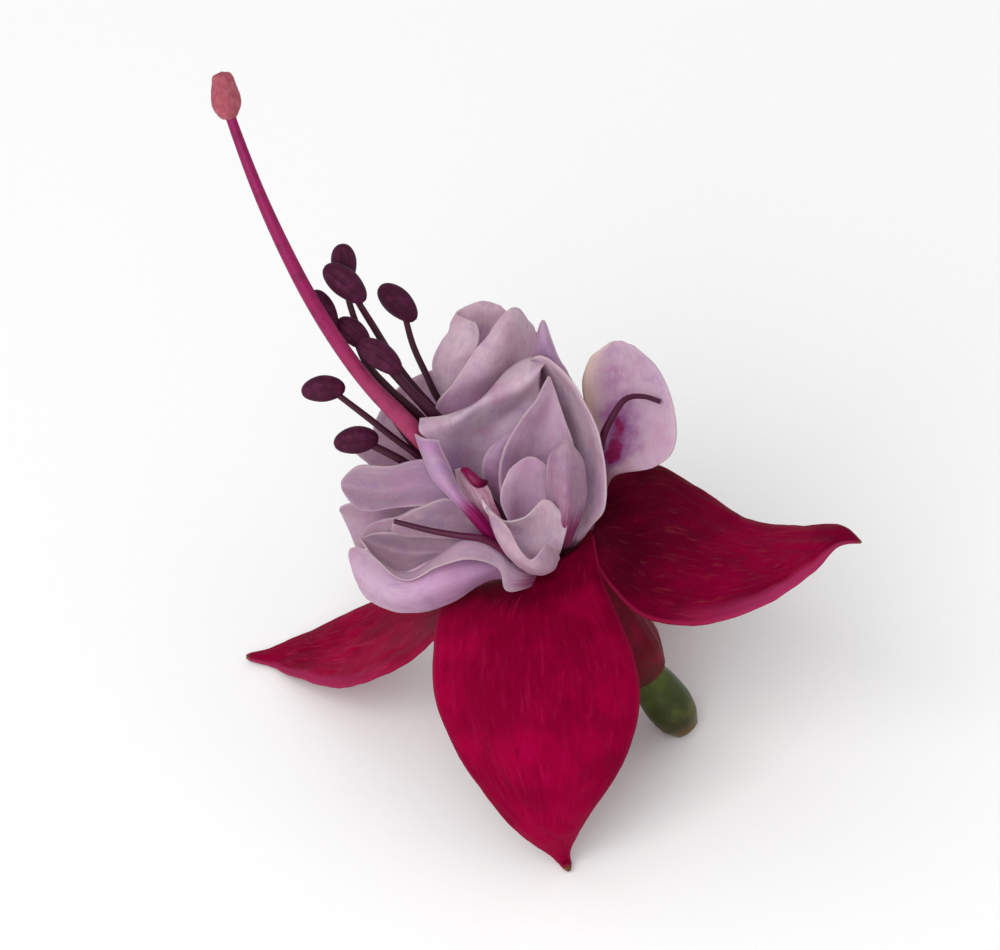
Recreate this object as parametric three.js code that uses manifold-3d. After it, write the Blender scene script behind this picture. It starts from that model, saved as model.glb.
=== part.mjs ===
// One cut bloom of a double fuchsia, lying on a surface as picked. Millimetres, +Z up.
//
// Every organ is drawn in the bloom's own frame: x to its right, y towards the stigma and z out of its open
// face, with the middle of the corolla near the origin. The finished bloom is tipped back until its ovary and
// three of its sepal tips touch the surface.

import * as THREE from "three";
import { mergeVertices } from "three/addons/utils/BufferGeometryUtils.js";
import Module from "manifold-3d";

const wasm = await Module();
wasm.setup();

// Driving dimensions.
const PETAL_THICKNESS = 0.6;
const SEPAL_THICKNESS = 0.9;
const SEAT_GAP = 0.3; // clear space between organs that touch in the real bloom
const TIP_BACK = THREE.MathUtils.degToRad(49.2); // turn about x from the bloom's frame to the surface's
const REST_DEPTH = 27.0; // from the bloom's origin down to the surface
const FILAMENT_SIDES = 6;
const STYLE_SIDES = 8;
const TUBE_SIDES = 14;
const SURFACE_SLAB = 120; // side of the block that stands for the surface

function material(colour, roughness) {
  return new THREE.MeshStandardMaterial({ color: colour, roughness, metalness: 0 });
}
const CRIMSON = material(0x9b003e, 0.45);
const MAROON = material(0x6a1c30, 0.55);
const LILAC = material(0xb89bb8, 0.6);
const PLUM = material(0x551c44, 0.7);
const DARK_CRIMSON = material(0x55001f, 0.5);
const MAGENTA = material(0x8e1a5e, 0.45);
const SALMON = material(0xb96c74, 0.6);
const GREEN = material(0x3a481e, 0.35);

// ---- Building solids -------------------------------------------------------------------------------------

const vector = ([x, y, z]) => new THREE.Vector3(x, y, z);
const splineThrough = (points) => new THREE.CatmullRomCurve3(points, false, "centripetal");

// Turns a closed triangle list into a solid, whichever way its faces were wound.
function solidFrom(positions, indices) {
  const bare = new THREE.BufferGeometry();
  bare.setAttribute("position", new THREE.Float32BufferAttribute(positions, 3));
  bare.setIndex(indices);
  const merged = mergeVertices(bare, 1e-4);
  const corners = merged.attributes.position.array;
  const faces = Uint32Array.from(merged.index.array);
  if (signedVolume(corners, faces) < 0) {
    for (let i = 0; i < faces.length; i += 3) {
      [faces[i + 1], faces[i + 2]] = [faces[i + 2], faces[i + 1]];
    }
  }
  return new wasm.Manifold(new wasm.Mesh({ numProp: 3, vertProperties: corners, triVerts: faces }));
}

function signedVolume(corners, faces) {
  const [a, b, c] = [new THREE.Vector3(), new THREE.Vector3(), new THREE.Vector3()];
  let sum = 0;
  for (let i = 0; i < faces.length; i += 3) {
    a.fromArray(corners, faces[i] * 3);
    b.fromArray(corners, faces[i + 1] * 3);
    c.fromArray(corners, faces[i + 2] * 3);
    sum += a.dot(b.cross(c)) / 6;
  }
  return sum;
}

// How much of a blade's width is left at u, from its root (0) to its tip (1): full up to where the tip
// begins, then closing in as a quarter ellipse.
const MIN_TIP_WIDTH = 0.35;
function widthShare(u, tipStart) {
  if (u <= tipStart) return 1;
  const s = (u - tipStart) / (1 - tipStart);
  return Math.max(MIN_TIP_WIDTH, Math.sqrt(1 - s * s));
}

// The middle surface of a blade as a grid of points. Each rib runs from the blade's left edge to its right
// edge, and the ribs follow each other from root to tip.
function bladeGrid({ ribs, tipStart = 1 }, rows, columns) {
  const ribCurves = ribs.map((rib) => splineThrough(rib.map(vector)));
  const grid = [];
  for (let i = 0; i <= rows; i += 1) {
    const u = i / rows;
    const across = [];
    for (let j = 0; j <= columns; j += 1) {
      const v = 0.5 + (j / columns - 0.5) * widthShare(u, tipStart);
      across.push(splineThrough(ribCurves.map((curve) => curve.getPoint(v))).getPoint(u));
    }
    grid.push(across);
  }
  return grid;
}

// Moves the outer points of a grid outwards, in the blade's own surface.
function widenGrid(grid, by) {
  const push = (point, from) => point.addScaledVector(point.clone().sub(from).normalize(), by);
  for (const row of grid) {
    push(row[0], row[1]);
    push(row.at(-1), row.at(-2));
  }
  grid[0].forEach((point, j) => push(point, grid[1][j]));
  grid.at(-1).forEach((point, j) => push(point, grid.at(-2)[j]));
}

// The normals of a blade's middle surface. They are evened out between neighbours, and where a blade is
// narrow they follow its whole width, so that its two faces never cross.
const NARROW = 2.4;
const EVENING_PASSES = 2;
function gridNormals(grid) {
  const lastRow = grid.length - 1;
  const lastColumn = grid[0].length - 1;
  const clampRow = (i) => THREE.MathUtils.clamp(i, 0, lastRow);
  const clampColumn = (j) => THREE.MathUtils.clamp(j, 0, lastColumn);
  let normals = grid.map((row, i) => row.map((_, j) => {
    const along = grid[clampRow(i + 1)][j].clone().sub(grid[clampRow(i - 1)][j]);
    const local = row[clampColumn(j + 1)].clone().sub(row[clampColumn(j - 1)]).normalize();
    const chord = row[lastColumn].clone().sub(row[0]);
    const share = THREE.MathUtils.smoothstep(chord.length(), NARROW / 2, 2 * NARROW);
    return along.cross(local.lerp(chord.normalize(), 1 - share)).normalize();
  }));
  for (let pass = 0; pass < EVENING_PASSES; pass += 1) {
    normals = normals.map((row, i) => row.map((normal, j) => {
      const sum = normal.clone();
      sum.add(normals[clampRow(i - 1)][j]).add(normals[clampRow(i + 1)][j]);
      sum.add(row[clampColumn(j - 1)]).add(row[clampColumn(j + 1)]);
      return sum.normalize();
    }));
  }
  return normals;
}

// A blade: a thin closed solid round its middle surface, with both faces split into triangles alike.
function blade(shape, thickness, grow = 0) {
  const rows = shape.rows ?? 6;
  const columns = shape.columns ?? 4;
  const grid = bladeGrid(shape, rows, columns);
  if (grow > 0) widenGrid(grid, grow);
  const positions = [];
  const half = thickness / 2 + grow;
  const normals = gridNormals(grid);
  for (const side of [half, -half]) {
    grid.forEach((row, i) => row.forEach((point, j) => {
      positions.push(...point.clone().addScaledVector(normals[i][j], side));
    }));
  }
  const count = (rows + 1) * (columns + 1);
  const top = (i, j) => i * (columns + 1) + j;
  const indices = [];
  for (let i = 0; i < rows; i += 1) {
    for (let j = 0; j < columns; j += 1) {
      const [a, b, c, d] = [top(i, j), top(i + 1, j), top(i + 1, j + 1), top(i, j + 1)];
      indices.push(a, b, c, a, c, d);
      indices.push(a + count, c + count, b + count, a + count, d + count, c + count);
    }
  }
  const rim = [];
  for (let j = 0; j < columns; j += 1) rim.push(top(0, j));
  for (let i = 0; i < rows; i += 1) rim.push(top(i, columns));
  for (let j = columns; j > 0; j -= 1) rim.push(top(rows, j));
  for (let i = rows; i > 0; i -= 1) rim.push(top(i, 0));
  rim.forEach((a, k) => {
    const b = rim[(k + 1) % rim.length];
    indices.push(a, b, b + count, a, b + count, a + count);
  });
  return solidFrom(positions, indices);
}

// A round stalk along a smooth path. Each station is [x, y, z, radius]. The section function may shape it.
function stalk({ stations, sides, steps, section = () => 1 }, grow = 0) {
  const path = splineThrough(stations.map(vector));
  const radii = splineThrough(stations.map((s) => new THREE.Vector3(s[3], 0, 0)));
  const frames = path.computeFrenetFrames(steps, false);
  const positions = [];
  for (let i = 0; i <= steps; i += 1) {
    const u = path.getUtoTmapping(i / steps);
    const centre = path.getPoint(u);
    const normal = frames.normals[i];
    const binormal = frames.binormals[i];
    const radius = radii.getPoint(u).x;
    for (let k = 0; k < sides; k += 1) {
      const angle = (k / sides) * 2 * Math.PI;
      const reach = radius * section(u, angle) + grow;
      const point = centre.clone();
      point.addScaledVector(normal, reach * Math.cos(angle));
      point.addScaledVector(binormal, reach * Math.sin(angle));
      positions.push(...point);
    }
  }
  const first = path.getPoint(0).addScaledVector(path.getTangent(0), -grow);
  const last = path.getPoint(1).addScaledVector(path.getTangent(1), grow);
  const firstIndex = positions.length / 3;
  positions.push(...first, ...last);
  const indices = [];
  for (let k = 0; k < sides; k += 1) {
    const next = (k + 1) % sides;
    for (let i = 0; i < steps; i += 1) {
      const [a, b] = [i * sides + k, i * sides + next];
      indices.push(a, b, b + sides, a, b + sides, a + sides);
    }
    indices.push(firstIndex, next, k);
    indices.push(firstIndex + 1, steps * sides + k, steps * sides + next);
  }
  return solidFrom(positions, indices);
}

// A plump organ between two points: a stalk whose radius follows an ellipse.
const PLUMP_STATIONS = 7;
const END_FULLNESS = 0.96; // keeps a small flat at each end
function plump({ from, to, radius, sides, steps, bow = 0, section }, grow = 0) {
  const stations = [];
  for (let k = 0; k < PLUMP_STATIONS; k += 1) {
    const t = k / (PLUMP_STATIONS - 1);
    const point = vector(from).lerp(vector(to), t);
    const offCentre = (2 * t - 1) * END_FULLNESS;
    point.y += bow * (1 - offCentre ** 2);
    stations.push([...point, radius * Math.sqrt(1 - offCentre ** 2)]);
  }
  return stalk({ stations, sides, steps, section }, grow);
}

// ---- Placing organs --------------------------------------------------------------------------------------

const bloom = new THREE.Group();
let taken = null; // the space of every organ placed so far, with the seat gap round it

// The block under the surface that the bloom lies on.
function surfaceBlock() {
  const block = new THREE.BoxGeometry(SURFACE_SLAB, SURFACE_SLAB, SURFACE_SLAB);
  block.translate(0, 0, -REST_DEPTH - SURFACE_SLAB / 2);
  block.rotateX(-TIP_BACK);
  block.deleteAttribute("normal");
  block.deleteAttribute("uv");
  const merged = mergeVertices(block);
  return solidFrom(Array.from(merged.attributes.position.array), Array.from(merged.index.array));
}
const belowSurface = surfaceBlock();
const SLIVER = 0.003;

function largestOf(solid) {
  const pieces = solid.decompose();
  return pieces.reduce((best, piece) => (piece.volume() > best.volume() ? piece : best));
}

// A solid's facets, without the slivers that cutting leaves.
function geometryOf(solid) {
  const { vertProperties, triVerts } = solid.getMesh();
  const cut = new THREE.BufferGeometry();
  cut.setAttribute("position", new THREE.BufferAttribute(vertProperties, 3));
  cut.setIndex(new THREE.BufferAttribute(triVerts, 1));
  const geometry = mergeVertices(cut, SLIVER);
  const corners = geometry.index.array;
  const faces = [];
  for (let i = 0; i < corners.length; i += 3) {
    const face = [...corners.slice(i, i + 3)];
    if (new Set(face).size === 3) faces.push(...face);
  }
  geometry.setIndex(faces);
  geometry.computeVertexNormals();
  return geometry;
}

// Adds one organ. It gives way to the organs placed before it, keeping the seat gap to them, and nothing of
// it reaches below the surface. build(grow) returns the organ with its skin moved out by grow.
const SMOOTHING = 0.02; // facets nearer to flat than this are merged
function place(name, look, build) {
  const whole = build(0).subtract(belowSurface);
  const cut = taken ? whole.subtract(taken) : whole;
  const kept = largestOf(cut.simplify(SMOOTHING));
  const claim = build(0).add(build(SEAT_GAP));
  taken = taken ? taken.add(claim) : claim;
  const mesh = new THREE.Mesh(geometryOf(kept), look);
  mesh.name = name;
  bloom.add(mesh);
}

// ---- Calyx tube and ovary --------------------------------------------------------------------------------

place("calyx_tube", MAROON, (grow) => stalk({
  sides: TUBE_SIDES,
  steps: 6,
  stations: [
    [5.3, -8.2, 0.7, 4.6],
    [7.0, -10.3, -1.0, 4.5],
    [10.0, -14.0, -3.6, 4.1],
    [13.0, -17.8, -6.2, 3.5],
    [14.6, -19.9, -7.5, 2.4],
  ],
}, grow));

place("ovary", GREEN, (grow) => stalk({
  sides: TUBE_SIDES,
  steps: 6,
  stations: [
    [14.7, -20.1, -7.6, 1.9],
    [15.7, -21.4, -8.3, 2.25],
    [16.9, -23.0, -9.1, 2.4],
    [18.0, -24.5, -9.9, 2.2],
    [18.8, -25.5, -10.4, 1.8],
  ],
}, grow));

// ---- Style, stigma and stamens ---------------------------------------------------------------------------

const STIGMA_LOBES = 4;
place("stigma", SALMON, (grow) => plump({
  from: [-26.9, 35.4, 14.0],
  to: [-27.6, 39.9, 14.4],
  radius: 1.4,
  sides: 12,
  steps: 6,
  section: (u, angle) => 1 + 0.14 * u * Math.cos(STIGMA_LOBES * angle),
}, grow));

// Each anther is two pollen sacs side by side, so its section has a waist.
const antherSection = (u, angle) => 1 + 0.12 * Math.cos(2 * angle);
const ANTHERS = {
  anther_1: { from: [-15.8, 23.0, 7.3], to: [-15.3, 18.9, 7.1], radius: 1.15 },
  anther_2: { from: [-17.5, 20.6, 9.7], to: [-13.5, 17.2, 9.6], radius: 1.3 },
  anther_3: { from: [-12.1, 18.7, 3.1], to: [-8.5, 15.4, 3.0], radius: 1.25 },
  anther_4: { from: [-18.6, 18.3, 9.1], to: [-16.5, 13.8, 8.9], radius: 1.1 },
  anther_5: { from: [-16.2, 15.3, 8.5], to: [-13.1, 12.6, 8.4], radius: 1.1 },
  anther_6: { from: [-14.0, 13.1, 11.6], to: [-9.9, 10.1, 11.2], radius: 1.2 },
  anther_7: { from: [-19.7, 8.1, 8.7], to: [-15.4, 8.5, 8.5], radius: 1.2 },
  anther_8: { from: [-16.5, 2.9, 5.6], to: [-12.1, 3.5, 5.5], radius: 1.25 },
};
const antherShape = { sides: 8, steps: 6, bow: 0.3, section: antherSection };
for (const [name, anther] of Object.entries(ANTHERS)) {
  place(name, PLUM, (grow) => plump({ ...anther, ...antherShape }, grow));
}

place("style", MAGENTA, (grow) => stalk({
  sides: STYLE_SIDES,
  steps: 16,
  stations: [
    [5.2, -8.1, 0.2, 0.8],
    [3.0, -6.0, 0.6, 0.85],
    [-2.0, -1.5, 1.9, 0.95],
    [-7.5, 3.3, 6.2, 1.0],
    [-10.3, 6.2, 8.0, 0.94],
    [-13.0, 9.0, 9.6, 0.82],
    [-16.0, 13.0, 10.8, 0.78],
    [-18.8, 17.5, 11.8, 0.74],
    [-21.3, 22.3, 12.6, 0.7],
    [-23.8, 27.8, 13.3, 0.62],
    [-26.0, 33.5, 13.8, 0.54],
    [-27.2, 37.0, 14.2, 0.5],
  ],
}, grow));

// The filaments leave the throat in a ring round the style and each ends inside its anther.
const FILAMENTS = {
  filament_1: [
    [4.2, -7.2, -1.2, 0.34],
    [-2.0, -0.5, 1.6, 0.36],
    [-7.0, 6.0, 4.2, 0.36],
    [-10.5, 9.9, 5.8, 0.36],
    [-13.4, 13.2, 6.7, 0.34],
    [-15.0, 17.2, 7.0, 0.32],
    [-15.4, 19.8, 7.1, 0.3],
  ],
  filament_2: [
    [5.9, -6.3, -0.8, 0.34],
    [-1.0, 0.4, 1.0, 0.4],
    [-6.0, 5.9, 3.0, 0.42],
    [-9.5, 9.9, 4.8, 0.4],
    [-12.8, 15.1, 7.6, 0.36],
    [-14.6, 18.0, 9.5, 0.32],
  ],
  filament_3: [
    [7.0, -6.6, 0.8, 0.34],
    [-1.5, 2.0, -0.6, 0.36],
    [-6.0, 7.3, 1.2, 0.36],
    [-7.5, 10.3, 2.0, 0.34],
    [-8.7, 13.0, 2.5, 0.33],
    [-9.6, 16.3, 3.0, 0.3],
  ],
  filament_4: [
    [3.2, -8.6, -0.8, 0.34],
    [-3.0, -2.0, 1.2, 0.36],
    [-8.2, 2.5, 4.2, 0.36],
    [-10.9, 6.1, 6.0, 0.36],
    [-14.0, 10.3, 7.8, 0.34],
    [-17.0, 14.8, 8.9, 0.3],
  ],
  filament_5: [
    [4.4, -9.8, 1.4, 0.34],
    [-3.4, 0.4, 2.4, 0.42],
    [-8.0, 5.8, 5.6, 0.46],
    [-11.0, 8.5, 7.2, 0.44],
    [-13.2, 11.0, 8.2, 0.4],
    [-14.4, 13.6, 8.5, 0.34],
  ],
  filament_6: [
    [6.9, -8.0, 1.8, 0.34],
    [-1.2, 0.6, 2.4, 0.42],
    [-6.8, 6.4, 7.0, 0.46],
    [-8.9, 8.4, 8.8, 0.44],
    [-10.8, 10.7, 11.2, 0.4],
  ],
  filament_7: [
    [3.0, -10.2, 0.9, 0.34],
    [-2.2, -3.6, 2.6, 0.34],
    [-8.6, 2.2, 5.0, 0.34],
    [-10.6, 3.7, 6.2, 0.34],
    [-13.0, 5.6, 7.7, 0.34],
    [-16.4, 8.2, 8.6, 0.3],
  ],
  filament_8: [
    [2.2, -9.4, -0.4, 0.34],
    [-2.4, -4.6, 1.0, 0.36],
    [-7.0, -0.6, 2.4, 0.4],
    [-9.4, 1.2, 4.2, 0.42],
    [-11.0, 2.1, 4.9, 0.42],
    [-13.2, 3.2, 5.5, 0.38],
  ],
};
for (const [name, stations] of Object.entries(FILAMENTS)) {
  place(name, DARK_CRIMSON, (grow) => stalk({ sides: FILAMENT_SIDES, steps: 9, stations }, grow));
}

// Two stamens that have turned into slim dark straps.
place("staminode_left", DARK_CRIMSON, (grow) => stalk({
  sides: FILAMENT_SIDES,
  steps: 9,
  stations: [
    [2.0, -9.0, 6.4, 0.36],
    [0.5, -7.6, 9.0, 0.36],
    [-1.6, -6.4, 9.8, 0.36],
    [-4.2, -6.0, 9.7, 0.34],
    [-7.0, -5.5, 9.3, 0.31],
    [-9.0, -5.0, 8.9, 0.28],
    [-10.5, -4.6, 8.5, 0.25],
  ],
}, grow));
place("staminode_right", DARK_CRIMSON, (grow) => stalk({
  sides: FILAMENT_SIDES,
  steps: 9,
  stations: [
    [9.6, -3.3, 2.9, 0.36],
    [9.9, 1.3, 4.0, 0.38],
    [10.3, 3.9, 4.9, 0.38],
    [11.2, 5.8, 5.0, 0.35],
    [12.3, 7.4, 4.8, 0.32],
    [13.1, 7.8, 4.6, 0.28],
    [14.5, 7.8, 4.4, 0.26],
    [16.0, 7.3, 4.3, 0.25],
  ],
}, grow));

// ---- Sepals ----------------------------------------------------------------------------------------------

const SEPALS = {
  sepal_front: {
    rows: 9,
    ribs: [
      [[1.8, -10.3, 2.4], [6.2, -8.5, 4.8], [9.3, -6.0, 2.8]],
      [[-5.4, -12.6, 1.8], [3.8, -13.4, 7.2], [10.4, -10.8, 5.0]],
      [[-6.6, -18.0, 4.5], [3.8, -18.5, 10.5], [13.3, -18.0, 7.0]],
      [[-6.2, -23.0, 6.5], [4.0, -24.0, 12.5], [13.8, -23.0, 8.5]],
      [[-3.4, -29.0, 7.5], [4.5, -29.5, 12.3], [12.0, -29.0, 8.8]],
      [[1.2, -35.0, 7.6], [5.3, -34.5, 9.6], [8.5, -34.3, 8.0]],
      [[5.3, -38.1, 5.2], [6.2, -37.5, 5.6], [7.0, -37.5, 5.4]],
      [[6.3, -39.6, 3.0], [6.9, -39.4, 3.1], [7.5, -39.1, 3.1]],
    ],
  },
  sepal_right: {
    rows: 9,
    ribs: [
      [[7.4, -4.8, -1.8], [9.0, -5.6, 0.5], [9.0, -7.8, 2.8]],
      [[10.4, -0.9, -4.6], [12.5, -7.3, 2.0], [11.0, -11.1, 6.5]],
      [[14.5, 1.2, -5.0], [16.2, -7.0, 4.0], [14.5, -14.2, 10.0]],
      [[20.0, -1.4, -1.0], [21.2, -8.1, 7.0], [20.5, -14.8, 12.5]],
      [[25.0, -4.5, 4.0], [26.5, -8.5, 10.0], [26.8, -12.5, 14.5]],
      [[30.0, -5.1, 8.5], [30.6, -7.1, 12.0], [31.2, -9.4, 15.0]],
      [[33.6, -5.1, 11.0], [34.0, -5.7, 12.0], [33.8, -7.0, 13.0]],
      [[35.6, -6.4, 11.0], [35.8, -6.7, 11.1], [35.8, -7.0, 11.4]],
    ],
  },
  sepal_left: {
    rows: 8,
    ribs: [
      [[1.9, -9.5, -2.0], [2.0, -11.4, 0.5], [3.8, -11.9, 3.0]],
      [[-1.0, -9.0, -8.0], [-3.0, -12.5, -5.0], [-4.8, -15.0, 1.0]],
      [[-8.0, -10.8, -14.0], [-10.0, -15.3, -9.5], [-9.5, -18.9, -2.5]],
      [[-15.0, -13.9, -18.0], [-16.2, -17.5, -15.5], [-15.5, -21.3, -8.0]],
      [[-20.0, -16.2, -20.5], [-20.8, -18.1, -19.0], [-20.7, -20.3, -14.5]],
      [[-23.8, -17.8, -20.9], [-23.8, -18.4, -20.6], [-23.8, -19.1, -19.3]],
      [[-25.7, -18.0, -20.9], [-25.7, -18.4, -20.8], [-25.7, -18.8, -20.6]],
    ],
  },
  sepal_back: {
    rows: 8,
    ribs: [
      [[2.1, -8.9, -2.4], [4.0, -6.7, -3.3], [6.6, -5.2, -2.4]],
      [[1.0, -9.5, -8.0], [6.0, -6.0, -10.0], [11.5, -3.0, -5.5]],
      [[2.0, -9.5, -17.0], [10.0, -6.0, -18.5], [18.5, -3.2, -12.0]],
      [[6.5, -9.0, -26.5], [14.5, -5.8, -27.5], [21.5, -4.2, -21.5]],
      [[13.5, -6.5, -34.0], [17.0, -5.0, -34.0], [20.5, -4.6, -31.0]],
      [[18.5, -5.1, -37.0], [18.9, -4.8, -37.0], [19.3, -4.6, -36.8]],
    ],
  },
};
for (const [name, shape] of Object.entries(SEPALS)) {
  place(name, CRIMSON, (grow) => blade(shape, SEPAL_THICKNESS, grow));
}

// ---- Petals ----------------------------------------------------------------------------------------------

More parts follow.
